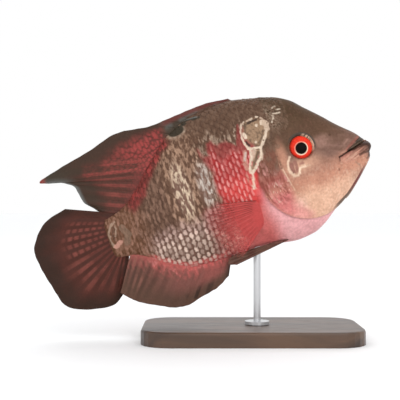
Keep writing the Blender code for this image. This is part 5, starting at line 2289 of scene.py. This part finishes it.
@dataclass(frozen=True)
class Fins:
    """The seven fins."""

    form: BodyForm

    def dorsal(self) -> FinForm:
        """The dorsal fin: spines folded low along the back, then soft rays that trail to a point.

        Returns:
            The fin's form.
        """
        spokes = rooted(BACK, ROOT_SINK, (
            (0.405, 0.432, 0.348), (0.47, 0.525, 0.358), (0.55, 0.625, 0.353), (0.63, 0.735, 0.346),
            (0.70, 0.855, 0.362), (0.735, 0.985, 0.331), (0.765, 1.10, 0.308), (0.795, 1.192, 0.281),
            (0.825, 1.118, 0.256), (0.86, 1.073, 0.222), (0.90, 1.062, 0.165), (0.95, 1.02, 0.112),
        ))
        return FinForm(
            self.form, "dorsal_fin", spokes, lambda f, out, s, h: 0.016 * f * out ** 2,
            rays=26, spines=0.38, root_half=0.0018, rows=100, columns_per_ray=8)

    def tail(self) -> FinForm:
        """The rounded tail fin, fanned a little below the body axis.

        Returns:
            The fin's form.
        """
        spokes = (
            (0.955, 0.080, 1.13, 0.158), (0.980, 0.060, 1.205, 0.140),
            (0.985, 0.038, 1.262, 0.095), (0.985, 0.020, 1.292, 0.035),
            (0.985, 0.0, 1.285, -0.035), (0.985, -0.020, 1.27, -0.105),
            (0.985, -0.038, 1.252, -0.175), (0.985, -0.054, 1.175, -0.222),
            (0.980, -0.066, 1.085, -0.238), (0.962, -0.072, 1.014, -0.198),
        )
        return FinForm(
            self.form, "tail_fin", spokes,
            lambda f, out, s, h: 0.006 * f ** 3 + 0.020 * (1.6 * f - 0.6) * out ** 1.5,
            rays=14, root_half=0.0034, root_length=0.25, rows=80, columns_per_ray=12)

    def anal(self) -> FinForm:
        """The anal fin, swept back under the tail stalk.

        Returns:
            The fin's form.
        """
        spokes = rooted(BELLY, -ROOT_SINK, (
            (0.60, 0.640, -0.272), (0.63, 0.70, -0.302), (0.667, 0.765, -0.3135),
            (0.706, 0.815, -0.325), (0.75, 0.86, -0.319), (0.795, 0.915, -0.293),
            (0.86, 0.985, -0.253), (0.91, 1.012, -0.228), (0.95, 1.036, -0.200),
        ))
        return FinForm(
            self.form, "anal_fin", spokes, lambda f, out, s, h: -0.0065 * f ** 3 - 0.016 * f * out ** 1.2,
            rays=16, spines=0.18, root_half=0.0019, rows=60, columns_per_ray=10)

    def pectoral(self, flank: Flank) -> FinForm:
        """A pectoral fin, fanned back along the flank and a little away from it.

        Args:
            flank: The side that it is on.

        Returns:
            The fin's form.
        """
        spokes = (
            (0.445, -0.045, 0.628, 0.002), (0.447, -0.062, 0.655, -0.045),
            (0.449, -0.078, 0.665, -0.10), (0.451, -0.094, 0.655, -0.155),
            (0.453, -0.110, 0.625, -0.20), (0.455, -0.125, 0.585, -0.225),
        )

        def sway(f: Array, out: Array, station: Array, height: Array) -> Array:
            """How far the sheet stands from the middle plane."""
            away = -0.012 + 0.050 * np.maximum(out, 0) ** 0.7 - 0.012 * (2 * f - 1) ** 2 * out
            return flank.value * (self.form.side(station, height) + away)

        return FinForm(
            self.form, f"pectoral_fin_{flank.word}", spokes, sway, rays=20, root_half=0.0012,
            root_length=0.2, ray_root=0.00032, pleat=0.0002, rows=36)

    def pelvic(self, flank: Flank) -> FinForm:
        """A pelvic fin, folded back under the belly.

        Args:
            flank: The side that it is on.

        Returns:
            The fin's form.
        """
        spokes = (
            (0.392, -0.214, 0.600, -0.238), (0.400, -0.213, 0.628, -0.228),
            (0.410, -0.211, 0.622, -0.213), (0.422, -0.208, 0.590, -0.201),
        )
        return FinForm(
            self.form, f"pelvic_fin_{flank.word}", spokes,
            lambda f, out, s, h: flank.value * (0.036 + 0.020 * out - 0.014 * f * out), rays=6,
            root_half=0.0012, root_length=0.2, ray_root=0.00040, pleat=0.0002, rows=34)

    def build(self, finish: Material, clear_finish: Material) -> None:
        """Makes every fin and stands it for its node.

        Args:
            finish: The material of the thick fins.
            clear_finish: The material of the pectoral fins.
        """
        made = [(self.dorsal(), finish), (self.tail(), finish), (self.anal(), finish)]
        for flank in Flank:
            made += [(self.pectoral(flank), clear_finish), (self.pelvic(flank), finish)]
        for fin, dress in made:
            finish_piece(fin.build(dress), [fin.name])


@dataclass(frozen=True)
class Eye:
    """One eyeball, domed out of its socket."""

    form: BodyForm
    flank: Flank
    station: float = 0.2422
    height: float = 0.0898
    radius: float = 0.0082
    half_depth: float = 0.0056
    proud: float = 0.0024
    rings: int = 72
    segments: int = 144
    lens_bulge: float = 0.00035
    pupil: float = 0.48
    pupil_shift: tuple[float, float] = (-0.13, -0.14)

    def seat(self) -> tuple[Vector, Vector]:
        """Where the eye sits, and which way it looks.

        Returns:
            The centre and the axis.
        """
        step = SLOPE_STEP
        spots = []
        for s, h in ((step, 0), (-step, 0), (0, step), (0, -step), (0, 0)):
            station, height = np.array(self.station + s), np.array(self.height + h)
            side = self.flank.value * self.form.side(station, height)
            spots.append(Vector(self.form.place(station, height, side)))
        axis = (spots[0] - spots[1]).cross(spots[2] - spots[3]).normalized()
        axis *= 1 if axis.y * self.flank.value > 0 else -1
        return spots[4] + axis * (self.proud - self.half_depth), axis

    def build(self, finish: Material) -> Object:
        """Makes the eyeball.

        Args:
            finish: Its material.

        Returns:
            The finished piece.
        """
        centre, axis = self.seat()
        ahead = Vector((math.cos(self.form.pitch), 0.0, math.sin(self.form.pitch)))
        ahead = (ahead - ahead.dot(axis) * axis).normalized()
        axes = np.array([ahead, ahead.cross(axis) * self.flank.value, axis])
        lean = np.linspace(0, math.pi, self.rings + 1)[1:-1]
        turn = np.arange(self.segments) * 2 * math.pi / self.segments
        lean, turn = np.meshgrid(lean, turn, indexing="ij")
        local = np.stack([
            self.radius * np.sin(lean) * np.cos(turn), self.radius * np.sin(lean) * np.sin(turn),
            self.half_depth * np.cos(lean)], axis=-1)
        poles = np.array([[0, 0, self.half_depth], [0, 0, -self.half_depth]])
        local = np.concatenate([local.reshape(-1, 3), poles])
        across, up = local[:, 0] / self.radius, local[:, 1] / self.radius
        reach = np.hypot(across - self.pupil_shift[0], up - self.pupil_shift[1])
        front = local[:, 2] > 0
        local[:, 2] += front * self.lens_bulge * np.exp(-(reach / (self.pupil + 0.12)) ** 4)
        points = np.array(centre) + local @ axes
        faces = capped_grid(self.rings - 1, self.segments)
        piece = make_piece(f"eyeball_{self.flank.word}", points, faces)
        face_outward(piece)
        set_tint(piece.data, "ground", self.paint(across, up, reach, front))
        piece.data.materials.append(finish)
        return piece

    def paint(self, across: Array, up: Array, reach: Array, front: Array) -> Array:
        """Colours of the pupil, the cream ring round it and the red iris.

        Args:
            across: Place towards the snout, in radii.
            up: Place towards the back, in radii.
            reach: Distance from the pupil's middle, in radii.
            front: True on the outward half.

        Returns:
            Linear colours.
        """
        sheet = Canvas(across, up, Tone.IRIS)
        lay = sheet.lay
        angle = np.arctan2(up, across)
        fibre = noise(angle * 9, reach * 5, 81)
        lay(ramp(fibre, 0.5, 0.8), Tone.IRIS_DEEP, 0.45)
        rim = np.hypot(across, up)
        lay(ramp(noise(angle * 2, rim * 16, 82), 0.5, 0.8), Tone.IRIS_DEEP, 0.35)
        ahead_side = ramp(np.cos(angle - 0.3), 0.45, 0.75)
        lay(ramp(rim, 0.93, 0.98), Tone.EYE_SHADE, 0.8)
        lay(window(rim, 0.87, 0.91, 0.02) * ahead_side * ramp(angle, -0.6, 0.3), Tone.EYE_SHADE, 0.6)
        lay(ramp(rim, 0.91, 0.94) * ahead_side, Tone.IRIS_CREAM, 0.95)
        lit = 0.35 + 0.65 * ramp(np.cos(angle + 0.9), -0.6, 0.3)
        lay(window(reach, self.pupil - 0.02, self.pupil + 0.08, 0.03) * lit, Tone.IRIS_CREAM)
        lay(ramp(reach, self.pupil + 0.025, self.pupil - 0.02), Tone.PUPIL)
        lay(np.where(front, 0.0, 1.0), Tone.EYE_SHADE)
        return sheet.colour


@dataclass(frozen=True)
class Studio:
    """The floor, the lights, the pale surroundings and the camera."""

    floor_size: float = 12.0
    camera_place: tuple[float, float, float] = (-0.0014, -0.652, 0.0959)
    lens: float = 85.0
    sensor: float = 36.0
    surround: tuple[float, float, float, float] = (0.98, 0.99, 1.0, 1.0)
    surround_strength: float = 1.03
    light_size: float = 0.9
    light_target: tuple[float, float, float] = (0.0, 0.0, 0.09)

    def light(self, name: str, place: tuple[float, float, float], energy: float) -> None:
        """Adds a soft square light that points at the fish.

        Args:
            name: The light's name.
            place: Where it hangs.
            energy: Its power in watts.
        """
        light = bpy.data.lights.new(name, "AREA")
        light.shape, light.size, light.energy = "SQUARE", self.light_size, energy
        lamp = add_object(name, light)
        lamp.location = place
        way = Vector(self.light_target) - Vector(place)
        lamp.rotation_euler = way.to_track_quat("-Z", "Y").to_euler()

    def floor(self) -> None:
        """Makes the pale floor."""
        half = self.floor_size / 2
        corners = np.array([(-half, -half, 0), (half, -half, 0), (half, half, 0), (-half, half, 0)])
        piece = make_piece("studio_floor", corners, [[0, 1, 2, 3]])
        made = Finish("pale_floor", 0.75, Specular_IOR_Level=0.2)
        made.dress(Base_Color=made.between(made.grain(made.here(), 30.0), 0.965, 0.985))
        piece.data.materials.append(made.material)

    def world(self) -> None:
        """Makes the surroundings: white to the camera, a little grey to the lit surfaces."""
        world = bpy.data.worlds.new("studio_surround")
        bpy.context.scene.world = world
        world.use_nodes = True
        made = NodeMaker(world.node_tree)
        soft = made.tree.nodes["Background"]
        made.feed(soft.inputs["Color"], self.surround)
        made.feed(soft.inputs["Strength"], self.surround_strength)
        white = made.node("ShaderNodeBackground", {"Color": (1.0, 1.0, 1.0, 1.0)})
        seen = made.node("ShaderNodeLightPath")
        mix = made.node("ShaderNodeMixShader", {
            0: seen.outputs["Is Camera Ray"], 1: soft.outputs[0], 2: white.outputs[0]})
        made.feed(made.tree.nodes["World Output"].inputs["Surface"], mix.outputs[0])

    def camera(self) -> None:
        """Makes the camera, level and square to the fish's right side."""
        data = bpy.data.cameras.new("camera")
        data.lens = self.lens
        data.sensor_width = self.sensor
        camera = add_object("camera", data)
        camera.location = self.camera_place
        camera.rotation_euler = (math.pi / 2, 0.0, 0.0)
        bpy.context.scene.camera = camera

    def build(self) -> None:
        """Sets the whole studio."""
        self.camera()
        self.floor()
        self.world()
        self.light("key_light", (0.40, -1.10, 0.55), 3.5)
        self.light("fill_light", (-0.7, -1.0, 0.20), 1.5)
        self.light("back_light", (-0.2, 0.9, 1.1), 2.0)
        bpy.context.scene.view_settings.view_transform = "Standard"


def dress_node(name: str, finish: Material) -> None:
    """Gives a CAD node that stays its better material."""
    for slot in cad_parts[name].material_slots:
        slot.material = finish
    log.info("%s: new finish %s", name, finish.name)


def main() -> None:
    """Builds the dressed model and its studio."""
    logging.basicConfig(level=logging.INFO, format="%(name)s: %(message)s")
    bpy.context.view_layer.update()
    Studio().build()
    form, plan = BodyForm(), HeadPlan()
    markings, relief = Markings(form, plan), Relief(form, plan)
    mottle = mottle_group()
    bare = TintedFinish("bare_skin", mottle, 620.0, 0.4, coat_roughness=0.25, bump=0.35)
    fin = TintedFinish(
        "fin_tissue", mottle, 900.0, 0.3, coat=0.03, gloss=0.18, bump=0.25, bump_depth=0.00015)
    wet = TintedFinish("wet_eye", mottle, 1800.0, 0.22, 0.35, coat_roughness=0.06, gloss=0.04)
    skin = Skin(form, relief, markings).build(bare.build())
    flesh = ["head", "torso", "tail_stalk", "gill_cover_right", "gill_cover_left"]
    finish_piece(skin, flesh)
    scales = ScaleFinish(mottle, scale_face_group(form.pitch)).build()
    scale, flank_map = ScaleForm().build(), FlankMap(form)
    parts = {"front": (0.0, 0.5), "rear": (0.5, 1.1)}
    for number, (flank, part) in enumerate(itertools.product(Flank, parts)):
        coat = ScaleCoat(
            form, plan, markings, relief, flank_map, flank, part, parts[part], seed=7 + number)
        finish_piece(coat.build(scale, scales))
    bpy.data.objects.remove(scale)
    Fins(form).build(fin.build(), replace(fin, name="clear_fin", clear=True).build())
    iris = wet.build()
    for flank in Flank:
        finish_piece(Eye(form, flank).build(iris), [f"eye_{flank.word}"])
    dress_node("stand_base", WoodFinish().build())
    dress_node("stand_rod", SteelFinish().build())


if __name__ == "__main__":
    main()
